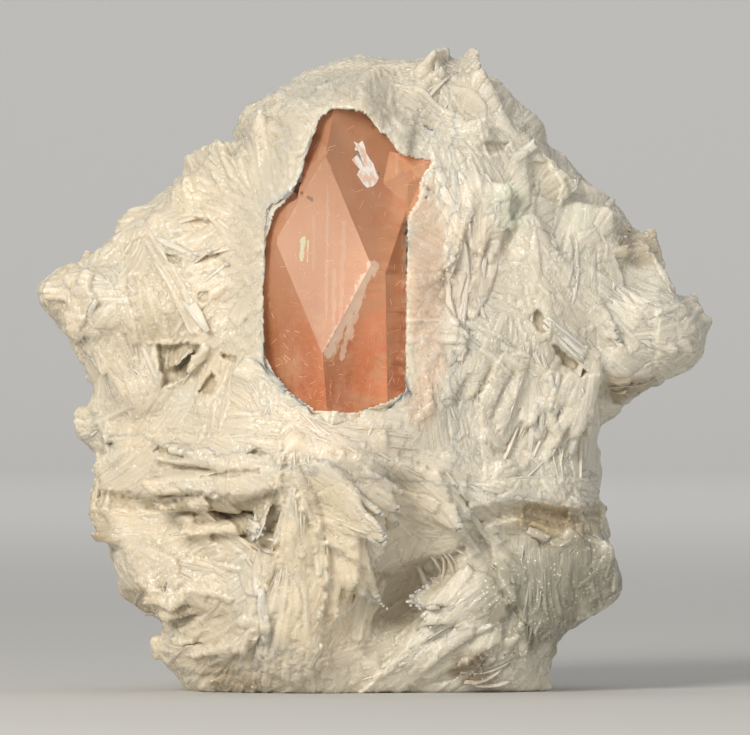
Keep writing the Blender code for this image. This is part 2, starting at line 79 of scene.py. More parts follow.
# Sheaves on the front: x and z of the root, heading in the picture in degrees from +X towards +Z, how far the
# sheaf opens, blade count, length, width, height of its tips, and how much it bends.
SHEAVES = [
    # left wing
    (-44.5, 66.5, 180, 70, 14, 12.5, 5.0, 0.9, 0.0),
    (-41.0, 76.5, 200, 50, 12, 8.5, 2.6, 0.8, 0.0),
    (-45.5, 63.0, 228, 50, 14, 9.0, 2.4, 0.9, 0.0),
    (-42.0, 73.0, 296, 30, 12, 17.0, 5.0, 0.6, 0.0),
    (-45.0, 58.0, 300, 30, 14, 12.0, 1.8, 0.8, 0.0),
    (-37.0, 49.5, 57, 26, 16, 13.0, 1.3, 0.9, 0.0),
    (-38.0, 50.0, 104, 18, 12, 11.0, 1.2, 0.9, 0.0),
    (-26.0, 60.0, 236, 26, 12, 12.0, 1.8, 0.9, 0.0),
    (-18.0, 74.5, 216, 40, 22, 16.0, 2.6, 0.9, 0.0),
    (-18.5, 64.0, 224, 34, 16, 11.0, 3.0, 0.8, 0.0),
    (-21.0, 79.0, 205, 30, 14, 13.0, 2.2, 0.9, 0.0),
    (-34.0, 62.0, 262, 40, 12, 12.0, 4.5, 0.6, 0.0),
    # upper left and top
    (-18.5, 82.5, 104, 26, 18, 16.0, 1.8, 1.0, 0.0),
    (-19.5, 80.0, 142, 40, 18, 15.0, 2.2, 0.9, 0.0),
    (-30.0, 78.5, 120, 40, 12, 9.0, 2.6, 0.8, 0.0),
    (-10.0, 92.0, 148, 40, 20, 13.5, 1.8, 0.9, 0.0),
    (-8.5, 96.5, 118, 40, 12, 8.5, 3.0, 0.8, 0.0),
    (-1.0, 97.0, 100, 50, 14, 9.5, 3.5, 0.7, 0.0),
    (8.0, 98.5, 85, 60, 14, 9.0, 3.5, 0.7, 0.0),
    (15.5, 97.0, 55, 56, 14, 9.5, 3.0, 0.7, 0.0),
    # upper right
    (21.0, 90.0, 35, 50, 14, 9.5, 2.6, 0.8, 0.0),
    (26.5, 82.5, 40, 50, 14, 11.0, 2.6, 0.8, 0.0),
    (36.0, 74.0, 30, 54, 16, 11.5, 2.8, 0.8, 0.0),
    (13.5, 91.5, 288, 36, 12, 12.0, 6.0, 0.5, 0.0),
    (16.0, 83.0, 262, 30, 10, 20.0, 8.0, 0.5, 0.0),
    (25.0, 76.0, 300, 26, 12, 17.0, 2.4, 0.8, 0.01),
    (7.0, 68.0, 330, 40, 16, 19.0, 4.0, 0.6, 0.01),
    (1.0, 102.5, 262, 40, 12, 13.0, 5.0, 0.5, 0.0),
    (13.0, 98.0, 300, 46, 12, 14.0, 5.0, 0.5, 0.0),
    (25.0, 88.0, 232, 40, 12, 12.0, 4.5, 0.6, 0.0),
    (34.0, 79.0, 262, 40, 12, 13.0, 5.0, 0.6, 0.0),
    (24.0, 70.0, 285, 40, 12, 12.0, 3.6, 0.7, 0.0),
    (-30.0, 82.0, 320, 40, 12, 12.0, 3.6, 0.6, 0.0),
    # right wing
    (28.5, 62.0, 315, 18, 14, 11.0, 1.3, 1.1, 0.0),
    (44.0, 60.0, 8, 80, 18, 12.5, 4.0, 0.8, 0.0),
    (40.5, 54.5, 328, 50, 14, 11.0, 3.0, 0.8, 0.0),
    (35.0, 67.0, 325, 44, 14, 12.0, 4.0, 0.7, 0.0),
    (26.0, 59.0, 270, 40, 22, 18.0, 1.7, 1.0, 0.0),
    (34.0, 54.0, 252, 36, 20, 17.5, 2.4, 1.0, 0.0),
    (17.5, 60.0, 250, 36, 16, 14.0, 2.4, 0.9, 0.0),
    # around the foot of the crystal
    (-27.0, 44.0, 350, 36, 16, 12.0, 2.4, 0.8, 0.0),
    (-20.5, 52.0, 330, 28, 16, 20.0, 2.2, 0.8, 0.0),
    (-13.5, 45.5, 344, 30, 18, 20.0, 2.0, 0.8, 0.0),
    (10.0, 45.0, 100, 26, 12, 13.0, 2.2, 0.8, 0.0),
    (6.0, 61.5, 300, 26, 14, 16.0, 2.2, 0.9, 0.0),
    (-1.5, 42.0, 60, 60, 14, 6.5, 1.2, 0.8, 0.0),
    (-9.5, 42.5, 105, 60, 14, 6.0, 1.2, 0.8, 0.0),
    (-17.5, 46.0, 100, 60, 14, 7.0, 1.3, 0.8, 0.0),
    (4.5, 44.0, 60, 60, 14, 7.0, 1.3, 0.8, 0.0),
    # bands at the left
    (-46.0, 43.5, 0, 14, 16, 28.0, 1.6, 0.9, 0.0),
    (-15.5, 36.5, 180, 16, 22, 28.0, 1.6, 0.9, 0.0),
    (-14.0, 31.5, 182, 12, 16, 28.0, 1.5, 0.9, 0.0),
    (-33.5, 34.0, 324, 18, 12, 20.0, 1.8, 0.9, 0.0),
    (-43.5, 36.5, 38, 20, 10, 9.0, 2.0, 0.8, 0.0),
    # lower left
    (-39.0, 26.5, 190, 60, 14, 9.0, 2.6, 0.8, 0.0),
    (-38.0, 22.0, 328, 40, 16, 15.0, 2.6, 0.9, 0.0),
    (-24.5, 17.5, 216, 50, 18, 17.0, 3.4, 0.8, 0.0),
    (-23.0, 11.0, 202, 40, 16, 13.5, 3.4, 0.8, 0.0),
    (-34.0, 22.5, 252, 40, 12, 11.0, 2.6, 0.8, 0.0),
    # sheaf left of the middle
    (-13.0, 41.0, 264, 26, 22, 22.0, 1.5, 1.0, 0.0),
    (-14.0, 28.0, 262, 30, 26, 23.0, 1.6, 1.0, 0.0),
    (-7.5, 27.5, 286, 32, 22, 19.0, 1.8, 1.0, 0.0),
    (-16.0, 15.5, 250, 32, 18, 14.0, 2.0, 0.9, 0.0),
    (-1.0, 17.5, 248, 24, 12, 10.0, 1.8, 0.9, 0.0),
    # ledge under the crystal
    (-8.0, 37.5, 330, 40, 22, 18.0, 2.6, 0.9, 0.0),
    (-5.0, 33.0, 300, 44, 22, 16.0, 2.8, 0.9, 0.0),
    (10.0, 35.5, 322, 34, 18, 14.0, 3.0, 0.9, 0.0),
    (20.0, 33.0, 350, 30, 18, 18.5, 2.6, 0.9, 0.0),
    (30.0, 33.5, 338, 26, 12, 9.0, 2.6, 0.9, 0.0),
    # bottom
    (9.0, 9.5, 202, 40, 16, 17.0, 3.0, 0.8, 0.0),
    (19.5, 19.0, 216, 26, 16, 21.0, 3.4, 0.9, 0.0),
    (26.0, 25.5, 270, 22, 20, 17.0, 2.6, 0.6, 0.0),
    (35.5, 23.0, 276, 26, 16, 13.0, 2.6, 0.6, 0.0),
    (21.0, 11.0, 264, 50, 14, 10.0, 2.6, 0.7, 0.0),
    (28.5, 8.0, 278, 40, 8, 6.5, 2.4, 0.7, 0.0),
]
# Sheaves of the sides and the top, which no photograph shows: how many, the blades in each, the tries at a
# root, and how far apart two roots lie.
SIDE_SHEAVES = 190
SIDE_BLADES = 9
ROOT_TRIES = 6000
ROOT_SPACING = 5.5

# Larger plates, ledges and hollows of the front: how far each stands out or, below zero, lies back, how wide
# its worn edge is, and its outline as x and z.
FORMS = [
    ("apron under the crystal", 1.6, 0.9, [
        (-14.0, 38.2), (-12.7, 31.8), (-9.7, 26.5), (-5.2, 23.5), (-0.7, 20.2), (2.7, 19.8), (5.3, 21.8),
        (10.7, 22.5), (13.2, 23.8), (15.7, 28.2), (12.7, 31.8), (10.7, 36.8), (3.2, 39.3), (-6.0, 40.2)]),
    ("hollow under the apron", -0.9, 1.6, [
        (-0.7, 20.8), (3.7, 20.2), (7.3, 22.5), (14.3, 24.3), (13.2, 19.3), (8.7, 16.5), (4.8, 8.5),
        (1.5, 3.8), (-2.3, 7.7), (-0.7, 14.3)]),
    ("slanting slab at the bottom", 1.2, 0.8, [
        (-2.7, 0.2), (1.5, 4.8), (4.7, 8.5), (8.2, 15.5), (11.5, 19.8), (15.7, 21.0), (19.3, 19.3),
        (21.5, 15.2), (20.7, 8.5), (15.7, 5.2), (9.0, 2.7), (4.0, 0.2)]),
    ("striped block", 1.3, 0.9, [
        (17.7, 28.5), (23.2, 29.8), (30.7, 27.2), (38.7, 30.5), (41.0, 21.8), (42.0, 15.5), (37.3, 12.2),
        (31.5, 10.5), (26.5, 8.5), (23.2, 13.5), (19.8, 19.3)]),
    ("column left of the middle", 1.4, 0.9, [
        (-17.3, 36.8), (-12.7, 38.2), (-9.7, 31.8), (-7.7, 21.8), (-9.0, 11.8), (-7.7, 5.2), (-12.7, 1.8),
        (-18.0, 3.2), (-20.2, 8.5), (-19.0, 16.8), (-18.0, 25.2), (-15.7, 30.2)]),
    ("dark recess at the left", -2.4, 0.9, [
        (-28.0, 32.8), (-22.7, 32.2), (-16.3, 33.8), (-15.7, 30.2), (-16.7, 24.3), (-19.0, 23.8),
        (-22.7, 27.7), (-26.8, 30.5)]),
    ("bands above the shadow", 1.3, 0.8, [
        (-47.0, 42.5), (-36.0, 43.2), (-15.2, 42.5), (-15.2, 34.8), (-21.0, 32.8), (-28.5, 33.5),
        (-37.7, 32.8), (-46.3, 33.8)]),
    ("shadow under the bands", -1.4, 0.9, [
        (-46.3, 33.2), (-37.7, 32.2), (-31.0, 31.8), (-30.0, 29.8), (-36.0, 30.5), (-46.0, 30.8)]),
    ("lump at the lower left", 1.2, 1.5, [
        (-43.0, 23.8), (-37.7, 25.2), (-33.0, 22.7), (-31.7, 18.5), (-36.0, 16.5), (-42.7, 16.8),
        (-44.7, 20.2)]),
    ("hollow at the lower left", -1.0, 1.4, [
        (-31.0, 16.8), (-23.5, 15.2), (-21.8, 11.0), (-26.8, 7.7), (-31.8, 8.5), (-33.5, 12.7)]),
    ("foot slab at the lower left", 1.0, 1.0, [
        (-35.7, 8.5), (-29.3, 8.5), (-21.0, 13.5), (-17.7, 11.8), (-19.0, 5.2), (-24.3, 3.2), (-35.2, 3.8)]),
    ("flat plate in the left wing", -0.6, 0.6, [
        (-41.8, 74.3), (-37.7, 76.0), (-28.3, 60.2), (-30.0, 58.2), (-37.7, 58.8), (-40.7, 65.2)]),
    ("pocket in the left wing", -2.6, 0.5, [
        (-36.0, 57.7), (-29.0, 58.0), (-31.0, 53.5), (-35.2, 51.0)]),
    ("three-cornered pocket", -1.8, 0.4, [
        (-27.0, 53.3), (-26.0, 51.0), (-27.3, 49.5), (-29.3, 49.8)]),
    ("small pocket beside the crystal", -1.5, 0.4, [
        (-25.5, 56.5), (-23.0, 55.7), (-23.0, 54.8), (-25.0, 55.5)]),
    ("pocket over the long blade", -1.2, 0.4, [
        (-34.7, 72.7), (-31.5, 71.8), (-32.0, 70.8), (-34.0, 71.2)]),
    ("pocket beside the long blade", -1.2, 0.4, [
        (-29.2, 66.2), (-27.7, 66.5), (-27.8, 65.0), (-29.0, 65.2)]),
    ("gap in the bands", -1.6, 0.4, [
        (-37.0, 40.0), (-36.0, 41.2), (-34.0, 39.8)]),
    ("gap at the end of the bands", -1.6, 0.4, [
        (-21.2, 39.8), (-19.0, 40.8), (-17.8, 39.7)]),
    ("long gap in the bands", -1.0, 0.3, [
        (-28.8, 35.8), (-24.0, 37.2), (-19.0, 37.5), (-19.0, 36.8), (-23.5, 36.0)]),
    ("plate at the tip of the left wing", 1.2, 0.9, [
        (-56.7, 66.8), (-55.2, 69.3), (-47.3, 72.2), (-46.7, 65.2), (-49.7, 58.2), (-52.3, 61.8)]),
    ("pale plate beside the crystal", 0.9, 0.5, [
        (8.7, 87.7), (12.7, 90.2), (21.5, 89.3), (25.0, 89.8), (25.5, 81.0), (20.7, 75.2), (19.0, 71.5),
        (15.7, 73.5), (12.7, 76.5), (10.0, 81.0)]),
    ("big plate of the right wing", 1.0, 0.7, [
        (21.2, 57.7), (25.3, 56.5), (28.2, 53.5), (37.3, 53.2), (38.3, 48.5), (30.7, 40.5), (28.7, 43.5),
        (26.5, 41.8), (24.0, 45.2), (20.7, 40.5), (17.3, 41.8), (17.0, 49.3)]),
    ("recess at the upper right", -0.9, 0.6, [
        (25.5, 87.7), (28.2, 88.0), (30.7, 84.3), (30.0, 81.2), (26.0, 82.2)]),
    ("recess by the corner", -0.8, 0.6, [
        (31.0, 85.2), (34.3, 85.5), (35.0, 81.8), (32.0, 81.8)]),
    ("dark pocket of the right wing", -1.6, 0.4, [
        (25.3, 62.2), (26.7, 63.8), (28.7, 60.5), (27.3, 59.5)]),
    ("slot of the right wing", -1.8, 0.4, [
        (29.3, 57.7), (31.0, 56.8), (34.8, 53.2), (33.7, 52.8), (30.7, 54.8)]),
    ("knob of the right wing", 1.2, 1.2, [
        (46.5, 63.5), (52.3, 65.5), (56.7, 63.2), (56.7, 59.3), (54.0, 56.0), (50.7, 51.0), (47.3, 51.8),
        (45.7, 57.7)]),
    ("undercut of the right wing", -1.8, 0.8, [
        (38.7, 51.0), (45.7, 52.2), (48.7, 50.2), (44.0, 47.7), (39.3, 48.2)]),
    ("ledge at the right", 1.6, 0.6, [
        (12.7, 34.8), (24.0, 35.8), (38.3, 35.5), (38.7, 31.8), (30.7, 30.5), (22.3, 32.2), (15.7, 30.8)]),
    ("shade under the ledge", -0.8, 1.0, [
        (15.7, 30.5), (23.2, 31.8), (30.7, 29.8), (37.3, 30.8), (37.0, 28.5), (30.7, 27.2), (24.0, 29.5),
        (17.3, 28.2)]),
    ("stained hollow under the ledge", -1.2, 0.8, [
        (24.0, 32.2), (31.5, 30.5), (30.7, 25.2), (27.3, 24.3), (24.3, 28.5)]),
    ("slanting recess at the top right", -1.0, 0.4, [
        (17.5, 91.3), (22.0, 91.3), (21.0, 90.2), (18.5, 89.2)]),
    ("sheaf end over the crystal", 0.7, 0.8, [
        (-22.7, 88.5), (-19.0, 96.8), (-12.7, 99.3), (-9.7, 96.8), (-12.7, 88.5), (-17.3, 81.0),
        (-21.8, 81.0)]),
]

# Single blades that catch the eye: x and z of the root and of the tip, width, how far the blade stands out,
# and how white its free plate is, with zero for a ridge that has none.
KEY_BLADES = [
    ("long blade of the left wing", -39.3, 78.2, -27.8, 60.0, 2.6, 1.5, 0.7),
    ("short blade above it", -36.5, 75.5, -30.3, 72.5, 1.1, 1.0, 0.5),
    ("ridge at the wing's tip", -46.3, 65.2, -49.8, 58.0, 1.1, 0.9, 0.5),
    ("needle in the wing", -45.2, 69.7, -42.7, 65.5, 0.5, 0.5, 0.8),
    ("second needle in the wing", -43.8, 70.5, -39.8, 66.3, 0.5, 0.5, 0.8),
    ("blade left of the pocket", -38.7, 57.5, -35.7, 50.7, 0.9, 1.1, 0.4),
    ("blade right of the pocket", -32.7, 52.3, -27.5, 57.8, 1.5, 1.2, 0),
    ("blade under the pocket", -34.7, 50.5, -32.0, 52.2, 1.2, 0.8, 0),
    ("round finger beside the crystal", -18.7, 69.8, -24.2, 61.2, 2.8, 1.1, 0),
    ("second finger", -19.0, 75.5, -21.5, 72.5, 2.6, 0.9, 0),
    ("step towards the crystal", -27.0, 67.5, -18.7, 71.3, 1.8, 0.9, 0),
    ("third finger", -18.0, 65.2, -22.0, 58.8, 2.4, 0.8, 0),
    ("lobe in the wing", -42.0, 62.2, -41.3, 59.2, 1.5, 0.8, 0),
    ("second lobe in the wing", -40.3, 62.5, -40.0, 59.5, 1.3, 0.8, 0),
    ("slanting blade over the bands", -43.2, 38.3, -36.5, 43.5, 1.7, 0.9, 0),
    ("needle over the crystal", -22.3, 92.5, -19.7, 82.0, 0.5, 0.5, 0.9),
    ("second needle over the crystal", -17.2, 92.2, -14.2, 82.8, 0.6, 0.6, 0.9),
    ("bright blade at the top", -13.2, 101.5, -6.3, 96.8, 1.1, 0.8, 0.4),
    ("blade at the top edge", -10.5, 104.8, -5.5, 102.5, 0.9, 0.8, 0.3),
    ("fibres over the crystal", -16.2, 100.2, -9.0, 95.5, 0.7, 0.5, 0),
    ("more fibres over the crystal", -15.3, 98.5, -9.7, 94.5, 0.6, 0.4, 0),
    ("proud blade at the upper right", 20.7, 86.2, 26.2, 91.5, 1.5, 1.6, 0.5),
    ("curved ridge, upper end", 21.3, 74.5, 24.7, 71.5, 1.7, 1.0, 0),
    ("curved ridge, middle", 23.7, 72.5, 29.3, 65.8, 1.8, 1.1, 0),
    ("curved ridge, lower end", 28.3, 67.5, 30.7, 62.2, 1.5, 0.9, 0),
    ("needle beside the crystal", 11.2, 74.7, 16.3, 70.7, 0.5, 0.5, 0.7),
    ("second needle beside the crystal", 14.5, 59.7, 18.5, 56.7, 0.5, 0.6, 0.9),
    ("bundle in the slot", 27.7, 62.0, 34.7, 55.7, 1.0, 1.4, 0.9),
    ("second of the bundle", 28.3, 62.3, 35.0, 56.7, 0.8, 1.3, 0.7),
    ("third of the bundle", 27.5, 61.0, 34.0, 55.0, 0.8, 1.2, 0.6),
    ("bright blade beside the crystal, upper end", 5.7, 61.5, 10.7, 55.5, 2.6, 1.0, 0),
    ("bright blade beside the crystal, middle", 9.7, 57.7, 12.7, 48.8, 2.6, 1.2, 0),
    ("bright blade beside the crystal, lower end", 12.0, 51.0, 13.3, 41.8, 2.4, 1.0, 0),
    ("standing blade under the right wing", 26.3, 48.2, 25.5, 39.8, 1.3, 1.1, 0.4),
    ("second standing blade", 27.5, 47.8, 27.0, 40.8, 1.0, 0.9, 0.4),
    ("third standing blade", 30.2, 53.2, 28.7, 46.8, 1.1, 0.9, 0.4),
    ("fourth standing blade", 28.7, 52.8, 30.0, 46.5, 1.1, 0.8, 0.4),
    ("bright blade of the column", -19.0, 24.3, -19.7, 16.5, 1.2, 1.6, 0.9),
    ("bright blade of the column, lower", -19.0, 17.7, -18.3, 8.5, 1.6, 1.7, 0.9),
    ("lowest bright blade of the column", -18.0, 13.2, -20.0, 3.8, 1.1, 1.3, 0.8),
    ("blade on the column", -10.0, 26.0, -9.5, 19.8, 1.1, 1.1, 0),
    ("second blade on the column", -12.7, 35.2, -10.7, 28.5, 1.0, 0.9, 0),
    ("glinting blade at the foot", -9.0, 8.5, -11.2, 4.5, 1.2, 1.1, 0.5),
    ("slanting slab in the recess", -28.7, 33.8, -16.2, 25.0, 2.6, 2.2, 0),
    ("slab below it", -27.7, 29.8, -19.0, 24.2, 2.0, 1.4, 0),
    ("lobe at the recess", -22.7, 22.5, -19.0, 16.8, 3.0, 1.2, 0),
    ("small blade in the hollow", 6.7, 21.7, 8.8, 17.0, 0.8, 1.6, 0.6),
    ("edge of the slanting slab", 4.7, 8.0, 15.7, 21.0, 2.4, 1.2, 0),
    ("lens on the slab", 8.0, 7.2, 16.3, 11.5, 3.0, 1.0, 0),
    ("edge of the apron", -12.7, 31.8, -5.2, 23.2, 1.6, 0.9, 0),
    ("blade end on the column's right", -4.0, 21.8, 0.0, 15.2, 2.4, 1.4, 0),
    ("blade under it", -1.0, 21.8, -4.0, 8.5, 2.2, 1.2, 0),
    ("sheaf end at the ledge", 5.7, 33.5, 10.3, 30.8, 2.2, 1.0, 0),
    ("white lip in the stain", 25.0, 27.2, 28.7, 25.5, 1.6, 1.3, 0.5),
    ("lip of the ledge", 15.7, 35.2, 24.0, 36.5, 1.6, 0.9, 0),
    ("lip of the ledge, right", 27.3, 35.5, 38.0, 34.2, 1.8, 0.9, 0),
    ("ridge of the wing's knob", 47.3, 56.8, 54.0, 64.2, 1.8, 1.0, 0),
    ("upper edge of the wing", 44.0, 65.2, 54.0, 65.2, 1.6, 0.8, 0),
    ("foot blade at the left", -34.3, 4.8, -23.3, 6.8, 2.4, 0.9, 0),
    ("slanting foot blade", -28.3, 6.8, -20.3, 13.2, 2.4, 0.9, 0),
]

# Where the crystal comes out of the fibres, as x and z: outside this line they lap over its faces.
CRYSTAL_OUTLINE = [
    (-9.0, 95.5), (-6.5, 97.0), (-2.8, 97.0), (-1.3, 95.5), (0.8, 92.7), (3.2, 91.8), (5.8, 88.7),
    (9.8, 88.2), (7.5, 85.7), (7.0, 81.8), (6.0, 76.5), (5.5, 71.8), (5.0, 50.2), (1.5, 48.5), (-3.7, 46.8),
    (-10.0, 47.3), (-13.7, 49.7), (-16.8, 53.3), (-18.3, 56.2), (-18.5, 65.8), (-18.0, 75.2), (-16.8, 79.2),
    (-13.7, 82.7),
]


def mesh_points(mesh):
    """The corners of a mesh in millimetres."""
    flat = np.empty(len(mesh.vertices) * 3, np.float32)
    mesh.vertices.foreach_get("co", flat)
    return flat.reshape(-1, 3).astype(float) / MM


def mesh_normals(mesh):
    flat = np.empty(len(mesh.vertices) * 3, np.float32)
    mesh.vertex_normals.foreach_get("vector", flat)
    return flat.reshape(-1, 3).astype(float)


def place(name, mesh):
    obj = bpy.data.objects.new(name, mesh)
    bpy.context.scene.collection.objects.link(obj)
    return obj


def baked(obj):
    """Turns what an object's modifiers make into its own mesh."""
    graph = bpy.context.evaluated_depsgraph_get()
    made = bpy.data.meshes.new_from_object(obj.evaluated_get(graph))
    obj.modifiers.clear()
    obj.data = made
    return obj


def eased(share):
    """A share from 0 to 1 with a smooth start and end."""
    return share * share * (3 - 2 * share)


def dice(seed, *cells):
    """A random number from 0 to 1 for each whole-numbered cell, the same each time."""
    mixed = np.full(len(cells[0]), seed * 2654435761 % 4294967296, np.uint32)
    for cell in cells:
        mixed = (mixed ^ cell.astype(np.int64).astype(np.uint32)) * np.uint32(1540483477)
        mixed ^= mixed >> np.uint32(15)
    return (mixed & np.uint32(65535)) / 65535


def lattice_noise(seed, *axes):
    """Smooth noise in 0 to 1, of one number per point on each axis."""
    cells = [np.floor(axis) for axis in axes]
    parts = [axis - cell for axis, cell in zip(axes, cells)]
    parts = [eased(part) for part in parts]
    total = np.zeros(len(axes[0]))
    for corner in range(2 ** len(axes)):
        steps = [corner >> number & 1 for number in range(len(axes))]
        weight = np.ones(len(axes[0]))
        for step, part in zip(steps, parts):
            weight *= part if step else 1 - part
        total += weight * dice(seed, *[cell + step for cell, step in zip(cells, steps)])
    return total


def unit(vectors):
    return vectors / np.maximum(np.linalg.norm(vectors, axis=-1, keepdims=True), 1e-9)


def remeshed(mesh, voxel, softening):
    """The mesh with its faces made again in even squares, and its corners worn round."""
    obj = place("remeshed", mesh)
    skin = obj.modifiers.new("healed", "REMESH")
    skin.mode = "VOXEL"
    skin.voxel_size = voxel * MM
    worn = obj.modifiers.new("softened", "SMOOTH")
    worn.factor = 0.5
    worn.iterations = softening
    made = baked(obj).data
    bpy.data.objects.remove(obj)
    return made


def cut_from(mesh, planes):
    """The part of a mesh inside the planes, each moved LAP outwards, with its cuts closed."""
    cut = bmesh.new()
    cut.from_mesh(mesh)
    for spot, way in planes:
        spot, way = Vector(spot) * MM, Vector(way)
        everything = cut.verts[:] + cut.edges[:] + cut.faces[:]
        bmesh.ops.bisect_plane(
            cut, geom=everything, dist=1e-7, plane_co=spot + way * LAP * MM, plane_no=way, clear_outer=True
        )
        bmesh.ops.triangle_fill(cut, use_beauty=True, edges=[e for e in cut.edges if e.is_boundary])
    made = bpy.data.meshes.new("cut")
    cut.to_mesh(made)
    cut.free()
    return made


plain = plate_node.data.copy()
plain.materials.clear()
soft = remeshed(plain, COARSE_VOXEL, COARSE_SOFTENING)
# The depth of the relief is evened out further than the outline, which stays as it is.
evened = place("evened", soft)
for number in range(2):
    worn = evened.modifiers.new("evened", "SMOOTH")
    worn.factor = 0.5
    worn.iterations = EVENING
    worn.use_x = False
    worn.use_z = False
soft = baked(evened).data
bpy.data.objects.remove(evened)
lump_meshes = []
for name, planes, voxel, triangles in LUMPS:
    lump_meshes.append(remeshed(cut_from(soft, planes), voxel, 4))
points = np.concatenate([mesh_points(mesh) for mesh in lump_meshes])
normals = np.concatenate([mesh_normals(mesh) for mesh in lump_meshes])
height = 0.05 + 0.35 * lattice_noise(1, *(points.T / 3.1))
grain = np.stack([points[:, 0] * 0.4, points[:, 2], np.zeros(len(points))], axis=1)
owner = np.zeros(len(points), int)


# How softly fused blades melt into one another, how far behind its root a sheaf's silk would meet, the share
# of its tip's height that a blade keeps, and how deep a sheaf reaches.
MELT = 0.06
SILK_ROOT = 4.0
RISE = 0.45
SHEAF_DEPTH = 16


def raise_blade(chosen, u, v, silk, start, slip, turn, curve, length, width, rise, tilt, edge, strings, seed):
    """Raises one fused blade. u and v are the chosen points' places along and across its sheaf."""
    a = u * math.cos(turn) + v * math.sin(turn) - start
    b = -u * math.sin(turn) + v * math.cos(turn) - slip - curve * a * a
    near = (np.abs(b) < width) & (a > 0) & (a < length)
    if not near.any():
        return
    rows, a, b, silk = chosen[near], a[near], b[near], silk[near]
    along = a / length
    half = 0.5 * width * (0.6 + 0.85 * along - 0.7 * along**3)
    half = half * (0.92 + 0.16 * lattice_noise(seed, a / 4.0))
    side = half - np.abs(b)
    end = np.minimum(a, (length - a) * 1.5 - 1.2 * lattice_noise(seed + 1, b / 0.9))
    inside = (side > 0) & (end > 0)
    rows, b, silk, along, side, end = (part[inside] for part in (rows, b, silk, along, side, end))
    a = a[inside]
    if not len(rows):
        return
    fine = lattice_noise(seed + 2, a / 7.0, b / 0.6) - 0.5
    coarse = lattice_noise(seed + 3, a / 10.0, b / 1.7) - 0.5
    top = rise * (0.25 + 0.75 * along**1.2) + tilt * b + strings * (0.8 * fine + coarse)
    top = top - (0.35 + 0.5 * rise) * (1 - np.clip(side / edge, 0, 1)) ** 2
    top = top - (0.35 + 0.6 * rise) * (1 - np.clip(end / 1.1, 0, 1)) ** 2
    old = height[rows]
    share = np.clip(0.5 + 0.5 * (top - old) / MELT, 0, 1)
    height[rows] = old + (top - old) * share + MELT * share * (1 - share)
    won = share > 0.5
    grain[rows[won]] = silk[won]
    owner[rows[won]] = round(silk[0, 2] * 1000)


def shingles(u, v, width, length, seed):
    """Heights from 0 to 1 of narrow blades that lie close side by side along u."""
    row = v / width + 0.9 * lattice_noise(seed, u / 5.0, v / (2.5 * width))
    across = np.floor(row)
    place_across = row - across
    along = u / (length * (0.6 + 0.8 * dice(seed + 1, across))) + 9 * dice(seed + 2, across)
    number = np.floor(along)
    place_along = along - number
    level = dice(seed + 3, across, number)
    lean = dice(seed + 4, across, number) - 0.5
    side = np.clip(np.minimum(place_across, 1 - place_across) * width / 0.22, 0, 1)
    tip = np.clip((1 - place_along) * length / 0.7, 0, 1) * np.clip(0.3 + place_along * length / 3.0, 0, 1)
    top = 0.25 + 0.75 * level + 0.7 * lean * (place_across - 0.5)
    return top * (0.35 + 0.65 * side) * (0.3 + 0.7 * tip)


def depth_within(outline, x, z):
    """How far each point lies inside a closed line, less than zero outside it."""
    nearest = np.full(len(x), 1e9)
    crossings = np.zeros(len(x), int)
    for (ax, az), (bx, bz) in zip(outline, np.roll(outline, -1, axis=0)):
        t = (x - ax) * (bx - ax) + (z - az) * (bz - az)
        t = np.clip(t / ((bx - ax) ** 2 + (bz - az) ** 2), 0, 1)
        nearest = np.minimum(nearest, np.hypot(x - ax - t * (bx - ax), z - az - t * (bz - az)))
        if az != bz:
            crossings += ((az > z) != (bz > z)) & (x < (bx - ax) * (z - az) / (bz - az) + ax)
    return np.where(crossings % 2 == 1, nearest, -nearest)


def push_out(x, z):
    """How far the forms bring each point of the front forward, and how deep it lies in a hollow."""
    push = np.zeros(len(x))
    hollow = np.zeros(len(x))
    wander = 0.9 * (lattice_noise(71, x / 1.1, z / 1.1) - 0.5)
    wander = wander + 0.5 * (lattice_noise(72, x / 0.5, z / 0.5) - 0.5)
    for name, rise, edge, outline in FORMS:
        outline = np.array(outline)
        rows = np.flatnonzero(
            (x > outline[:, 0].min() - 3) & (x < outline[:, 0].max() + 3)
            & (z > outline[:, 1].min() - 3) & (z < outline[:, 1].max() + 3)
        )
        inner = depth_within(outline, x[rows], z[rows]) + wander[rows] * min(1.0, edge * 1.2)
        share = eased(np.clip(inner / edge + 0.5, 0, 1))
        push[rows] += rise * share
        if rise < 0:
            hollow[rows] = np.maximum(hollow[rows], share * min(1.0, -rise / 2.0))
    return push, hollow


def near_points(root, heading, facing, reach):
    across = np.cross(facing, heading)
    offset = points - root
    deep = offset @ facing
    u = offset @ heading
    v = offset @ across
    close = (u * u + v * v < reach * reach) & (np.abs(deep) < SHEAF_DEPTH)
    chosen = np.flatnonzero(close & (normals @ facing > 0.05))
    return chosen, u[chosen], v[chosen]


# Further than any part of the piece lies from its middle.
FAR = 80


def first_hit(shape, x, z, way=1):
    """Where a line along the view first meets a shape: from the viewer, or from behind where way is -1."""
    return shape.ray_cast(Vector((x, -FAR * way, z)), Vector((0, way, 0)))[0]


def front_root(x, z):
    """The point of the front at x and z."""
    struck = first_hit(front, x, z)
    return np.array([x, struck.y if struck is not None else 0.0, z])


def in_picture(turn):
    """A heading in the picture, in degrees from +X towards +Z."""
    return np.array([math.cos(math.radians(turn)), 0, math.sin(math.radians(turn))])


def silk_along(u, v, opening, root):
    """The run of the fibres in a sheaf: along, across and which sheaf. They spread as the sheaf opens."""
    across = v * SILK_ROOT / (SILK_ROOT + opening * np.maximum(u, 0))
    return np.stack([u, across, np.full(len(u), root[0] + root[2])], axis=1)


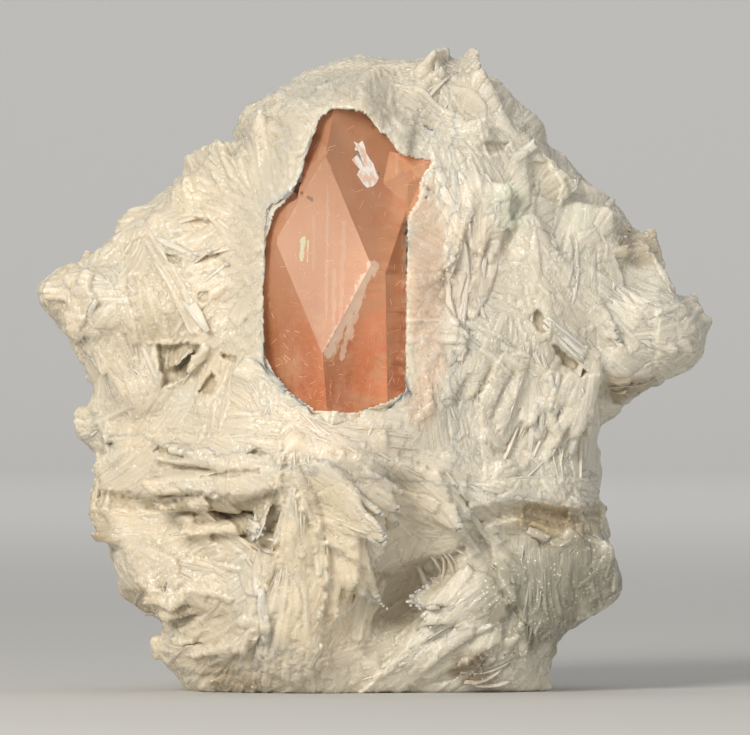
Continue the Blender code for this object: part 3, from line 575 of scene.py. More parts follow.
def raise_sheaf(root, heading, facing, spread, count, length, width, rise, bend):
    """Raises one sheaf of fused blades on the mass, in the plane that the heading and the facing span."""
    chosen, u, v = near_points(root, heading, facing, 1.4 * length + 2)
    lean = rng.choice([-1.0, 1.0])
    opening = math.tan(math.radians(min(spread, 60) / 2))
    sheaf_frames.append((root, heading, facing, opening))
    silk = silk_along(u, v, opening, root)
    for number in range(count):
        turn = math.radians(spread * ((number + 0.5) / count - 0.5 + rng.normal(0, 0.12)))
        raise_blade(
            chosen, u, v, silk,
            start=rng.uniform(-0.1, 0.35) * length,
            slip=rng.normal(0, 0.45) * width + 0.03 * (number - count / 2) * width,
            turn=turn,
            curve=bend + rng.normal(0, 0.003),
            length=length * rng.uniform(0.55, 1.0),
            width=width * rng.uniform(0.6, 1.35),
            rise=rise * rng.uniform(0.6, 1.2) * RISE,
            tilt=lean * rng.uniform(0.04, 0.16),
            edge=0.24,
            strings=0.10,
            seed=int(rng.integers(1, 100000)),
        )


soft_faces = np.empty(len(soft.polygons) * 4, np.int32)
soft.polygons.foreach_get("vertices", soft_faces)
front = BVHTree.FromPolygons(mesh_points(soft).tolist(), soft_faces.reshape(-1, 4).tolist())
placed_roots = np.zeros((0, 3))
side_roots = []
sheaf_frames = []
for row in rng.permutation(len(points))[:ROOT_TRIES]:
    root, facing = points[row], normals[row]
    if len(placed_roots) >= SIDE_SHEAVES:
        break
    if facing[1] < -0.55 or root[2] < 1.5 or facing[2] < -0.8:
        continue
    if len(placed_roots) and np.linalg.norm(placed_roots - root, axis=1).min() < ROOT_SPACING:
        continue
    placed_roots = np.vstack([placed_roots, root])
    outward = np.array([root[0], 0.15 * root[1], root[2] - 50.0]) + rng.normal(0, 22, 3)
    heading = unit(outward - outward @ facing * facing)
    side_roots.append((root, facing, heading))
    raise_sheaf(
        root, heading, facing, spread=rng.uniform(24, 60), count=SIDE_BLADES, length=rng.uniform(9, 17),
        width=rng.uniform(1.4, 4.2), rise=0.9, bend=0.0,
    )
VIEWER = np.array([0.0, -1.0, 0.0])
for x, z, turn, spread, count, length, width, rise, bend in SHEAVES:
    raise_sheaf(front_root(x, z), in_picture(turn), VIEWER, spread, count, length, width, rise, bend)
for name, x0, z0, x1, z1, width, rise, whiteness in KEY_BLADES:
    root = front_root(x0, z0)
    length = math.hypot(x1 - x0, z1 - z0)
    heading = np.array([x1 - x0, 0, z1 - z0]) / length
    chosen, u, v = near_points(root, heading, VIEWER, length + 3)
    if not len(chosen):
        continue
    silk = np.stack([u, v, np.full(len(u), x1 + z1)], axis=1)
    raise_blade(
        chosen, u, v, silk, start=-0.3, slip=0.0, turn=0.0, curve=rng.normal(0, 0.004), length=length + 0.6,
        width=width * 1.2, rise=0.7 * rise, tilt=rng.normal(0, 0.06), edge=0.25, strings=0.05,
        seed=int(rng.integers(1, 100000)),
    )
unowned = np.flatnonzero(owner == 0)
nearest = np.full(len(unowned), 1e9)
for root, heading, facing, opening in sheaf_frames:
    offset = points[unowned] - root
    apart = np.linalg.norm(offset, axis=1) + 8 * (1 - normals[unowned] @ facing)
    closer = apart < nearest
    nearest[closer] = apart[closer]
    rows, offset = unowned[closer], offset[closer]
    u, v = offset @ heading, offset @ np.cross(facing, heading)
    grain[rows] = silk_along(u, v, opening, root)
    owner[rows] = round((root[0] + root[2]) * 1000)
apart_u, apart_v = grain[:, 0] + grain[:, 2] * 7.3, grain[:, 1] + grain[:, 2] * 3.7
silky = 0.45 + 0.9 * lattice_noise(5, *(points.T / 8.0))
broad = shingles(apart_u, apart_v, 1.5, 15.0, 81) - 0.5
slim = shingles(apart_u, apart_v, 0.7, 8.0, 91) - 0.5
height += silky * (0.34 * broad + 0.18 * slim)
height += 0.1 * (lattice_noise(6, *(points.T / 0.9)) - 0.5)

pushed, hollow = push_out(points[:, 0], points[:, 2])
towards_viewer = np.clip(0.35 - normals[:, 1], 0, 0.5) * 2 * (points[:, 1] < 6)
pushed, hollow = pushed * towards_viewer, hollow * towards_viewer

sunk = np.zeros(len(points))
seam_wave = 3.6 * (lattice_noise(51, *(points.T / 2.6)) - 0.5)
seam_wave = seam_wave + 1.2 * (lattice_noise(52, *(points.T / 0.9)) - 0.5)
seam_wave = np.clip(seam_wave, -1.7, 1.7)
begin = 0
for (name, planes, voxel, triangles), mesh in zip(LUMPS, lump_meshes):
    rows = slice(begin, begin + len(mesh.vertices))
    begin += len(mesh.vertices)
    for spot, way in planes:
        beyond = (points[rows] - np.array(spot)) @ np.array(way, float)
        # The seam between two lumps wanders, the same way in both of them.
        beyond += np.sign(sum(way)) * seam_wave[rows] - 0.15
        sunk[rows] = np.maximum(sunk[rows], np.clip(beyond / 0.8, 0, 1) ** 2 * 0.45)
moved = points + normals * (height - sunk)[:, None]
moved[:, 1] -= pushed
gem_points = mesh_points(crystal_node.data)
gem_shape = BVHTree.FromPolygons(gem_points.tolist(), [list(p.vertices) for p in crystal_node.data.polygons])
low, high = (np.array(corner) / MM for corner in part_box("morganite_crystal"))
crystal_line = np.array(CRYSTAL_OUTLINE)
# The fibres bank up against the crystal over this many millimetres.
BANK = 7.0
# They lie this far under the crystal's hidden faces.
UNDER = 0.12
# Below this height the crystal's foot is lapped over.
FOOT_TOP = 56
around_gem = ((moved > low - (BANK, 14, BANK)) & (moved < high + (BANK, 4, BANK))).all(axis=1)
seat_rows = np.flatnonzero(around_gem & (normals[:, 1] < 0.45) & (sunk < 0.3))
free = depth_within(crystal_line, moved[seat_rows, 0], moved[seat_rows, 2])
free += 0.5 * (lattice_noise(31, moved[seat_rows, 0] / 0.8, moved[seat_rows, 2] / 0.8) - 0.5)
for row, clear in zip(seat_rows, free):
    x, _, z = moved[row]
    ahead = first_hit(gem_shape, x, z)
    if ahead is not None and clear > 0:
        behind = first_hit(gem_shape, x, z, -1)
        moved[row, 1] = max(moved[row, 1], behind.y - UNDER)
        continue
    relief = height[row] - 0.3
    if clear > -BANK:
        beside = gem_shape.find_nearest(Vector((x, -32, z)))[0]
        share = eased(min(1.0, 1 + clear / BANK))
        change = beside.y + np.interp(z, [50, 60], [0.0, 0.4]) - relief - moved[row, 1]
        moved[row, 1] += share * change * (1.0 if change < 0 or z > FOOT_TOP else 0.3)
    if ahead is not None:
        low_down = z < FOOT_TOP
        lip = 0.9 if low_down else 0.15
        fold = relief * (0.5 if low_down else 0.2)
        moved[row, 1] = min(moved[row, 1], ahead.y - 0.1 - lip * min(1.0, -clear / 1.5) - fold)
for row in np.flatnonzero(((moved > low - 0.5) & (moved < high + 0.5)).all(axis=1)):
    spot, out = gem_shape.find_nearest(Vector(moved[row]))[:2]
    if (Vector(moved[row]) - spot).dot(out) < -0.15:
        moved[row] = np.array(spot - out * UNDER)
# Nothing of the mass is left standing in front of the free faces of the crystal.
seen = depth_within(crystal_line, moved[:, 0], moved[:, 2])
for row in np.flatnonzero((seen > 0) & (moved[:, 1] < 0)):
    behind = first_hit(gem_shape, moved[row, 0], moved[row, 2], -1)
    if behind is not None and moved[row, 1] < behind.y - UNDER:
        moved[row, 1] = behind.y - UNDER
moved[:, 2] = np.where(points[:, 2] < 0.25, 0.0, np.maximum(moved[:, 2], 0.0))
calm = np.ones(len(points))
around_height = height.copy()
begin = 0
for mesh in lump_meshes:
    ends = np.empty(len(mesh.edges) * 2, np.int32)
    mesh.edges.foreach_get("vertices", ends)
    ends = ends.reshape(-1, 2) + begin
    rows = slice(begin, begin + len(mesh.vertices))
    begin += len(mesh.vertices)
    calm[ends[owner[ends[:, 0]] != owner[ends[:, 1]]].ravel()] = 0
    ends -= rows.start
    neighbours = np.bincount(ends.ravel(), minlength=len(mesh.vertices)) + 1.0
    for turn in range(10):
        level = around_height[rows]
        total = np.bincount(ends[:, 0], level[ends[:, 1]], len(level))
        total = total + np.bincount(ends[:, 1], level[ends[:, 0]], len(level))
        around_height[rows] = (level + total) / neighbours
# How far each point stands above or lies below its neighbours. With the depth in hollows, the finish paints
# shade into what lies low and highlight onto what stands out.
proud = np.clip((height - around_height) / 0.35, -1, 1)
growth = np.stack([hollow, proud, calm], axis=1)


# Patches of stain, tint, painted light and painted shade on the front: x and z of the middle, half width,
# half height, strength and colour.
PATCHES = [
    # Painted shade and a grey-green tone: the lower right block is darkened, away from the key light.
    ("dull grey-green block", 29.0, 18.0, 15.0, 13.0, 0.95, (0.38, 0.355, 0.275)),
    ("shade over the stained block", 30.0, 28.5, 11.0, 3.5, 0.35, (0.50, 0.40, 0.25)),
    ("orange-brown stain", 27.5, 29.0, 5.5, 4.0, 0.4, (0.48, 0.34, 0.18)),
    ("brown stain at the foot", 16.5, 4.0, 4.5, 4.0, 0.75, (0.26, 0.19, 0.10)),
    ("brown stain under the left foot", -24.5, 2.0, 5.0, 3.5, 0.6, (0.34, 0.26, 0.15)),
    ("brown knob at the left", -41.0, 15.0, 4.5, 3.5, 0.6, (0.42, 0.33, 0.20)),
    ("brown edge at the left", -46.0, 26.5, 4.0, 5.5, 0.55, (0.48, 0.38, 0.24)),
    ("brown patch on the wing", 43.5, 74.0, 4.5, 4.5, 0.5, (0.46, 0.36, 0.22)),
    ("brown undercut of the wing", 42.0, 50.5, 5.5, 3.0, 0.6, (0.42, 0.33, 0.20)),
    # Painted light: the peach glow that light passing through the crystal throws on the albite beside it.
    ("warm glow beside the crystal", 12.0, 72.0, 10.0, 12.0, 0.35, (0.86, 0.68, 0.50)),
    ("peach light beside the crystal", 8.5, 66.0, 4.0, 18.0, 0.5, (0.90, 0.64, 0.46)),
    ("green tint at the upper right", 22.0, 81.0, 3.5, 4.5, 0.3, (0.58, 0.72, 0.54)),
    ("green tint by the corner", 34.0, 79.0, 3.0, 3.5, 0.22, (0.60, 0.70, 0.54)),
    ("dull top", 6.0, 100.0, 18.0, 7.0, 0.5, (0.62, 0.55, 0.43)),
    ("dull shoulder", -24.0, 90.0, 8.0, 8.0, 0.4, (0.62, 0.56, 0.44)),
    # Painted light: the middle and the collar under the crystal are lightened where they face the key light.
    ("bright middle", -10.0, 20.0, 10.0, 16.0, 0.8, (0.90, 0.78, 0.58)),
    ("bright collar", -8.0, 44.0, 13.0, 5.5, 0.6, (0.93, 0.80, 0.63)),
    # Painted shade: the right side of the front is darkened, away from the key light.
    ("dull right", 27.0, 60.0, 14.0, 12.0, 0.45, (0.64, 0.585, 0.47)),
    ("bright apron", 4.0, 30.0, 11.0, 9.0, 0.4, (0.86, 0.76, 0.60)),
    ("peach edge at the crystal's foot", 7.5, 48.5, 3.5, 4.5, 0.45, (0.66, 0.47, 0.33)),
]


def patch_tones(spots):
    """The colour of the local stains, tints, painted light and painted shade at each point, and how far they
    cover the plain tone.
    """
    x, y, z = spots.T
    wave = 0.55 * lattice_noise(41, x / 3.8, y / 3.8, z / 3.8)
    wave = wave + 0.35 * lattice_noise(42, x / 1.5, y / 1.5, z / 1.5) - 0.45
    front_side = np.clip(1 - y / 12, 0, 1)
    colour = np.zeros((len(x), 3))
    cover = np.zeros(len(x))
    for name, middle_x, middle_z, wide, tall, strength, tint in PATCHES:
        away = ((x - middle_x) / wide) ** 2 + ((z - middle_z) / tall) ** 2 + 1.6 * wave
        share = eased(np.clip((1.15 - away) / 0.9, 0, 1)) * strength * front_side
        colour += (np.array(tint) - colour) * share[:, None]
        cover += (1 - cover) * share
    plain_share = 0.001
    colour = (colour + plain_share * np.array((0.75, 0.68, 0.54))) / (cover + plain_share)[:, None]
    return colour, np.stack([cover, cover, cover], axis=1)


def paint(mesh, name, values):
    layer = mesh.attributes.new(name, "FLOAT_VECTOR", "POINT")
    layer.data.foreach_set("vector", values.astype(np.float32).ravel())


albite_pieces = []
begin = 0
for (name, planes, voxel, triangles), mesh in zip(LUMPS, lump_meshes):
    rows = slice(begin, begin + len(mesh.vertices))
    begin += len(mesh.vertices)
    mesh.vertices.foreach_set("co", (moved[rows] * MM).astype(np.float32).ravel())
    paint(mesh, "grain", grain[rows])
    paint(mesh, "growth", growth[rows])
    tint, cover = patch_tones(moved[rows])
    paint(mesh, "tint", tint)
    paint(mesh, "cover", cover)
    mesh.polygons.foreach_set("use_smooth", [True] * len(mesh.polygons))
    lump = place(name, mesh)
    thinned = lump.modifiers.new("thinned", "DECIMATE")
    thinned.ratio = min(1.0, triangles / 2 / len(mesh.polygons))
    baked(lump)
    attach(lump, "root")
    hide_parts("albite_plate")
    albite_pieces.append(lump)


# The blades that still stand free of the mass: thin plates of albite, on edge in the silky sheaves and face
# out where the surface is smooth. Each is a closed plate rooted in the mass, with a blunt chisel for a tip.
STATIONS = 8
SECTION = np.array([(-1, -0.3), (-1, 0.3), (-0.8, 1), (0.8, 1), (1, 0.3), (1, -0.3), (0.8, -1), (-0.8, -1)])
made_plates = []
# The grid on which the push of the forms is looked up: cell, and the first and last x and z.
CELL = 0.25
GRID_LEFT, GRID_RIGHT = -64, 64
GRID_FOOT, GRID_TOP = -2, 112
columns, levels = np.arange(GRID_LEFT, GRID_RIGHT, CELL), np.arange(GRID_FOOT, GRID_TOP, CELL)
grid_x, grid_z = np.meshgrid(columns, levels, indexing="ij")
push_grid = push_out(grid_x.ravel(), grid_z.ravel())[0].reshape(grid_x.shape)


def push_at(x, z):
    """The push of the forms at a few points, looked up on a grid."""
    column = np.clip((x - GRID_LEFT) / CELL, 0, push_grid.shape[0] - 1).astype(int)
    row = np.clip((z - GRID_FOOT) / CELL, 0, push_grid.shape[1] - 1).astype(int)
    return push_grid[column, row]


def plate_frame(spots, facing, roll):
    """Out of the surface, and the broad and the thin way of a plate that is rolled about its own length."""
    along = unit(np.gradient(spots, axis=0))
    out = unit(facing - (along @ facing)[:, None] * along)
    side = np.cross(out, along)
    wide = math.cos(roll) * out + math.sin(roll) * side
    thick = -math.sin(roll) * out + math.cos(roll) * side
    return out, wide, thick


def lay_plates(root, heading, facing, spread, count, length, width, rise, bend):
    """Lays the free plates of one sheaf along the surface of the mass."""
    across = np.cross(facing, heading)
    narrow = np.clip((4.5 - width) / 3.0, 0, 1)
    for number in range(count):
        turn = math.radians(spread * (rng.uniform(-0.55, 0.55)))
        plate_length = length * rng.uniform(0.35, 0.95)
        start = rng.uniform(-0.1, 0.55) * length
        slip = rng.normal(0, 0.55) * width
        roll = math.radians(rng.normal(90 - 75 * narrow, 14))
        plate_width = rng.uniform(0.6, 1.5) if narrow > 0.5 else width * rng.uniform(0.25, 0.5)
        thickness = rng.uniform(0.18, 0.42)
        proud = rng.uniform(0.0, 0.25) + 0.2 * rise * rng.random()
        curve = bend + rng.normal(0, 0.006)
        steps = np.linspace(0, 1, STATIONS)
        u = start + steps * plate_length
        v = slip + curve * (steps * plate_length) ** 2 + (steps * plate_length) * math.tan(turn)
        spots = root + u[:, None] * heading + v[:, None] * across
        depths = []
        for spot in spots:
            struck = front.ray_cast(Vector(spot + facing * 25), Vector(-facing), 60)[0]
            depths.append((np.array(struck) - spot) @ facing if struck is not None else np.nan)
        depths = np.array(depths)
        if np.isnan(depths).any() or np.ptp(depths) > 0.75 * plate_length + 1.0:
            continue
        if facing[1] == -1:
            pushes = push_at(spots[:, 0], spots[:, 2])
            if pushes.min() < -0.5:
                continue
            depths = depths + pushes
        if np.ptp(depths) > 0.5 * plate_length + 0.6:
            continue
        depths = np.polyval(np.polyfit(steps, depths, 2), steps)
        spots = spots + depths[:, None] * facing
        out, wide, thick = plate_frame(spots, facing, roll)
        reach = abs(math.cos(roll)) * plate_width / 2 + abs(math.sin(roll)) * thickness / 2
        lift = proud * (0.2 + 0.8 * steps) - reach
        lift[0] -= 0.5
        spots = spots + lift[:, None] * out
        if spots[:, 2].min() < 0.6:
            continue
        whiteness = rng.uniform(0, 0.4)
        made_plates.append((spots, wide, thick, plate_width, thickness, plate_length, whiteness))


for root, facing, heading in side_roots:
    lay_plates(root, heading, facing, 45, 9, rng.uniform(7, 14), rng.choice([1.5, 2.0, 3.0, 5.0]), 0.9, 0.0)
for x, z, turn, spread, count, length, width, rise, bend in SHEAVES:
    plates = int(count * 1.5)
    lay_plates(front_root(x, z), in_picture(turn), VIEWER, spread, plates, length, width, rise, bend)
for name, x0, z0, x1, z1, width, rise, whiteness in KEY_BLADES:
    if not whiteness:
        continue
    steps = np.linspace(0, 1, STATIONS)
    spots = np.stack([x0 + (x1 - x0) * steps, np.zeros(STATIONS), z0 + (z1 - z0) * steps], axis=1)
    hits = [first_hit(front, x, z) for x, _, z in spots]
    if any(hit is None for hit in hits):
        continue
    depths = np.array([hit.y for hit in hits]) - push_at(spots[:, 0], spots[:, 2])
    spots[:, 1] = np.polyval(np.polyfit(steps, depths, 1), steps) - 0.45 * rise * (0.3 + 0.7 * steps)
    wide, thick = plate_frame(spots, VIEWER, math.radians(90 + rng.normal(0, 10)))[1:]
    length = math.hypot(x1 - x0, z1 - z0)
    made_plates.append((spots, wide, thick, width, 0.35 + 0.25 * rise, length, whiteness))


def clear_of_gem(spots):
    """Whether a plate stays off the crystal and out of its window."""
    for x, y, z in spots:
        spot, out, _, gap = gem_shape.find_nearest(Vector((x, y, z)))
        if gap < 0.9 or (Vector((x, y, z)) - spot).dot(out) < 0:
            return False
    return depth_within(crystal_line, spots[:, 0], spots[:, 2]).max() < -1.2


def plates_object(name, plates):
    """One mesh of many closed plates."""
    count = len(plates)
    spots, wide, thick, widths, thicknesses, lengths, tones = (np.array(values) for values in zip(*plates))
    steps = np.linspace(0, 1, STATIONS)
    taper = np.interp(steps, [0, 0.3, 0.75, 0.93, 1], [0.7, 1.0, 0.85, 0.7, 0.35])
    half_width = widths[:, None] / 2 * taper * rng.uniform(0.92, 1.06, (count, STATIONS))
    half_thick = thicknesses[:, None] / 2 * np.interp(steps, [0, 0.7, 1], [1, 1, 0.45])
    onward = unit(np.gradient(spots, axis=1))
    shear = rng.uniform(-1.2, 1.2, (count, 1)) * np.interp(steps, [0.6, 1], [0, 1]) * half_width
    corners = (
        spots[:, :, None]
        + onward[:, :, None] * (shear[:, :, None] * SECTION[:, 0])[..., None]
        + wide[:, :, None] * (half_width[:, :, None] * SECTION[:, 0])[..., None]
        + thick[:, :, None] * (half_thick[:, :, None] * SECTION[:, 1])[..., None]
    )
    around = len(SECTION)
    ring = np.arange(around)
    quads = []
    for station in range(STATIONS - 1):
        here = station * around + ring
        there = here + around
        quads.append(np.stack([here, np.roll(here, -1), np.roll(there, -1), there], axis=1))
    quads = np.concatenate(quads)
    every = np.arange(count)[:, None, None] * (STATIONS * around)
    all_quads = (quads[None] + every).reshape(-1, 4)
    caps = np.stack([ring[::-1], (STATIONS - 1) * around + ring])
    all_caps = (caps[None] + every).reshape(-1, around)
    corners = corners.reshape(-1, 3)
    corners[:, 2] = np.maximum(corners[:, 2], 0.0)
    mesh = bpy.data.meshes.new(name)
    mesh.vertices.add(len(corners))
    mesh.vertices.foreach_set("co", (corners * MM).astype(np.float32).ravel())
    mesh.loops.add(all_quads.size + all_caps.size)
    loops = np.concatenate([all_quads.ravel(), all_caps.ravel()])
    mesh.loops.foreach_set("vertex_index", loops.astype(np.int32))
    mesh.polygons.add(len(all_quads) + len(all_caps))
    quad_starts = np.arange(len(all_quads)) * 4
    starts = np.concatenate([quad_starts, len(all_quads) * 4 + np.arange(len(all_caps)) * around])
    mesh.polygons.foreach_set("loop_start", starts.astype(np.int32))
    mesh.update(calc_edges=True)
    mesh.validate()
    a = np.repeat((steps[None] * lengths[:, None]).ravel(), around)
    b = (half_width[:, :, None] * SECTION[:, 0]).ravel()
    number = np.repeat(rng.uniform(0, 90, count), STATIONS * around)
    paint(mesh, "grain", np.stack([a, b, number], axis=1))
    tone = np.repeat(tones, STATIONS * around)
    paint(mesh, "growth", np.stack([np.zeros(len(a)), tone, np.ones(len(a))], axis=1))
    tint, cover = patch_tones(corners)
    paint(mesh, "tint", tint)
    paint(mesh, "cover", cover)
    piece = place(name, mesh)
    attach(piece, "root")
    albite_pieces.append(piece)


kept = [plate for plate in made_plates if clear_of_gem(plate[0])]
share = math.ceil(len(kept) / 3)
for number, where in enumerate(("back", "left", "right")):
    plates_object("blades_" + where, kept[number * share : (number + 1) * share])


# The finish of the albite: white to cream, pearly on the broad faces, silky along the blades, and a little
# see-through, so light creeps round the edges and the pockets stay warm instead of going black.
class Socket:
    """One output of a shader node, on which sums can be written."""

    def __init__(self, tree, link):
        self.tree = tree
        self.link = link

    def node(self, kind, settings=None, **inputs):
        made = self.tree.nodes.new(kind)
        for name, value in (settings or {}).items():
            setattr(made, name, value)
        for name, value in inputs.items():
            key = int(name[1:]) if name[0] == "_" else name.replace("_", " ")
            if isinstance(value, Socket):
                self.tree.links.new(value.link, made.inputs[key])
            else:
                made.inputs[key].default_value = value
        return made

    def math(self, operation, *values):
        inputs = {f"_{n}": value for n, value in enumerate(values)}
        made = self.node("ShaderNodeMath", {"operation": operation}, **inputs)
        return Socket(self.tree, made.outputs[0])

    def __add__(self, other):
        return self.math("ADD", self, other)

    __radd__ = __add__

    def __mul__(self, other):
        return self.math("MULTIPLY", self, other)

    __rmul__ = __mul__

    def __sub__(self, other):
        return self.math("SUBTRACT", self, other)

    def __rsub__(self, other):
        return self.math("SUBTRACT", other, self)

    def clamp(self):
        made = self.node("ShaderNodeClamp", None, Value=self)
        return Socket(self.tree, made.outputs[0])

    def ramp(self, low, high):
        smooth = {"interpolation_type": "SMOOTHSTEP"}
        made = self.node("ShaderNodeMapRange", smooth, Value=self, From_Min=low, From_Max=high)
        return Socket(self.tree, made.outputs[0])

    def mix(self, first, second):
        made = self.node("ShaderNodeMix", {"data_type": "RGBA"}, _0=self, _6=first, _7=second)
        return Socket(self.tree, made.outputs[2])

    def noise(self, scale, detail):
        made = self.node("ShaderNodeTexNoise", None, Vector=self, Scale=scale, Detail=detail)
        return Socket(self.tree, made.outputs[0])

    def voronoi(self, scale):
        made = self.node("ShaderNodeTexVoronoi", None, Vector=self, Scale=scale)
        return Socket(self.tree, made.outputs["Distance"])

    def scaled(self, *factors):
        made = self.node("ShaderNodeVectorMath", {"operation": "MULTIPLY"}, _0=self, _1=factors)
        return Socket(self.tree, made.outputs[0])


def material(name):
    made = bpy.data.materials.new(name)
    made.use_nodes = True
    tree = made.node_tree
    shader = tree.nodes["Principled BSDF"]
    start = Socket(tree, None)
    return made, tree, shader, start


def attribute(start, name):
    made = start.node("ShaderNodeAttribute", {"attribute_name": name})
    return Socket(start.tree, made.outputs["Vector"])


def split(vector):
    made = vector.node("ShaderNodeSeparateXYZ", None, Vector=vector)
    return [Socket(vector.tree, made.outputs[n]) for n in range(3)]


# Albite colours. The brown one serves the dark specks and, as painted shade, the hollows and grooves. The
# near-white one serves painted glints, the painted highlight on crests and the whiter free blades.
WHITE = (0.80, 0.74, 0.62, 1)
CREAM = (0.79, 0.68, 0.51, 1)
GREY = (0.68, 0.65, 0.55, 1)
STAIN_AND_SHADE = (0.42, 0.34, 0.20, 1)
GLINT = (0.97, 0.96, 0.92, 1)


def albite_finish(name, subsurface, scale):
    """The finish of the albite. Thin blades scatter light over a shorter way than the mass does."""
    albite, tree, shader, start = material(name)
    place_in = Socket(tree, start.node("ShaderNodeTexCoord").outputs["Object"])
    blade = attribute(start, "grain")
    # The growth attribute holds the depth in a hollow, the height above the neighbours and how calm the
    # surface is. The first two paint shade and highlight.
    pocket, proud, calm = split(attribute(start, "growth"))
    x = split(place_in)[0]
    silk = blade.scaled(0.22, 2.6, 1.0).noise(1.0, 2.0)
    fine = blade.scaled(0.35, 7.0, 1.0).noise(1.0, 0.0)
    cloud = place_in.noise(90.0, 1.0)
    leftness = (x * -1.0 + 0.002).ramp(-0.02, 0.045)
    ground_tone = leftness.mix(WHITE, CREAM)
    ground_tone = (cloud * 1.4 - 0.35).clamp().mix(ground_tone, GREY)
    ground_tone = split(attribute(start, "cover"))[0].mix(ground_tone, attribute(start, "tint"))
    cloud_fine = place_in.noise(260.0, 1.0)
    specks = (1.0 - place_in.voronoi(900.0).ramp(0.07, 0.15)) * cloud_fine.ramp(0.55, 0.65)
    ground_tone = (specks * 0.5).mix(ground_tone, STAIN_AND_SHADE)
    # Painted glints: small near-white specks in the base colour stand in for light sparkling off the blades.
    # Where the glints lie, the surface is also made smoother.
    glints = (1.0 - place_in.voronoi(1300.0).ramp(0.14, 0.28)) * cloud_fine.ramp(0.38, 0.54)
    painted_sparkles = (1.0 - place_in.voronoi(480.0).ramp(0.09, 0.15)) * cloud_fine.ramp(0.46, 0.6)
    ground_tone = (glints * 0.7 + painted_sparkles * 0.8).clamp().mix(ground_tone, GLINT)
    # Painted shade: hollows, and points that lie below their neighbours, are darkened towards the brown
    # colour.
    ground_tone = (pocket * 0.5 + (0.0 - proud) * 0.25).clamp().mix(ground_tone, STAIN_AND_SHADE)
    # Painted highlight: points that stand above their neighbours are lightened. On the free blades the same
    # channel holds how white each blade is.
    ground_tone = (proud * 0.45).clamp().mix(ground_tone, GLINT)
    tree.links.new(ground_tone.link, shader.inputs["Base Color"])
    tree.links.new((silk * calm * 0.3 + 0.2 - glints * 0.12).clamp().link, shader.inputs["Roughness"])
    shader.inputs["Subsurface Weight"].default_value = subsurface
    shader.inputs["Subsurface Radius"].default_value = (1.0, 0.88, 0.7)
    shader.inputs["Subsurface Scale"].default_value = scale
    shader.inputs["IOR"].default_value = 1.53
    frost = place_in.noise(2600.0, 1.0)
    relief = (silk * 0.6 + fine * 0.35) * calm + frost * 0.45
    bump = start.node("ShaderNodeBump", None, Height=relief, Distance=0.00028, Strength=0.9)
    tree.links.new(bump.outputs[0], shader.inputs["Normal"])
    return albite


mass_finish = albite_finish("healed albite", 0.8, 0.0014)
blade_finish = albite_finish("albite blades", 0.0, 0.0002)
for part in albite_pieces:
    part.data.materials.clear()
    part.data.materials.append(blade_finish if part.name.startswith("blades") else mass_finish)

# The morganite: one clear peach beryl crystal that grew into the albite and is held by it. Its faces are
# those of the solid, bright and nearly flat, and what lies in the stone shows as veils, streaks and spots.
gem = place("morganite_body", crystal_node.data.copy())
gem.data.materials.clear()
peach, tree, shader, start = material("clear peach morganite")
place_in = Socket(tree, start.node("ShaderNodeTexCoord").outputs["Object"])
x, y, z = split(place_in)
# Marks in the stone: x and z of both ends, half width, strength and colour.
MARKS = [
    ("pale growth strip", -0.5, 70.9, -7.9, 56.4, 0.95, 0.9, (1.0, 0.80, 0.62)),
    ("its second tongue", -2.6, 65.5, -4.6, 59.0, 0.5, 0.8, (1.0, 0.80, 0.62)),
    ("its third tongue", -4.4, 62.5, -5.6, 56.0, 0.55, 0.8, (1.0, 0.80, 0.62)),
    ("pale bevel", -8.6, 89.6, -14.6, 79.3, 0.8, 0.35, (0.92, 0.64, 0.48)),
    ("pale streaked strip", 5.0, 77.0, 5.2, 52.0, 0.8, 0.5, (0.95, 0.74, 0.60)),
    ("streak in the bright face", -8.0, 84.0, -8.2, 62.0, 0.3, 0.28, (0.98, 0.80, 0.66)),
    ("second streak", -5.3, 78.0, -5.9, 62.0, 0.45, 0.25, (0.98, 0.80, 0.66)),
    ("third streak", -10.2, 79.0, -10.3, 70.0, 0.25, 0.2, (0.98, 0.80, 0.66)),
    ("fourth streak", -6.9, 70.0, -7.1, 57.0, 0.35, 0.3, (0.98, 0.80, 0.66)),
    ("green fleck", -12.0, 75.3, -12.2, 71.8, 0.35, 0.95, (0.86, 0.93, 0.62)),
    ("second green fleck", -11.2, 75.0, -11.3, 71.5, 0.12, 0.9, (0.86, 0.93, 0.62)),
    ("dark spot", -12.2, 82.8, -12.0, 82.5, 0.3, 0.85, (0.28, 0.15, 0.09)),
    ("second dark spot", -11.2, 82.1, -10.6, 81.7, 0.35, 0.85, (0.28, 0.15, 0.09)),
    ("third dark spot", 0.2, 86.2, 0.4, 86.0, 0.25, 0.6, (0.35, 0.18, 0.10)),
    ("fourth dark spot", -0.6, 93.8, -0.4, 93.6, 0.2, 0.6, (0.35, 0.18, 0.10)),
]
PEACH = (0.77, 0.385, 0.215, 1)
DEEP = (0.57, 0.20, 0.08, 1)
PALE_PEACH = (0.86, 0.50, 0.32, 1)
downward = (z * 1.0 + (place_in.noise(70.0, 2.0) - 0.5) * 0.02).ramp(0.078, 0.045)
tone = downward.mix(PEACH, DEEP)
veil = place_in.scaled(1.0, 1.0, 0.45).noise(260.0, 4.0).ramp(0.42, 0.68)
tone = (veil * 0.4).mix(tone, PALE_PEACH)
tone = (place_in.noise(2200.0, 3.0).ramp(0.45, 0.7) * 0.28).mix(tone, PALE_PEACH)
needles = 1.0 - place_in.scaled(1.0, 1.0, 0.3).voronoi(1100.0).ramp(0.05, 0.12)
needles = needles * z.ramp(0.068, 0.05)
tone = (needles * 0.7).mix(tone, PALE_PEACH)
ragged = (place_in.scaled(1.0, 1.0, 0.5).noise(1100.0, 3.0) - 0.5) * 0.0034
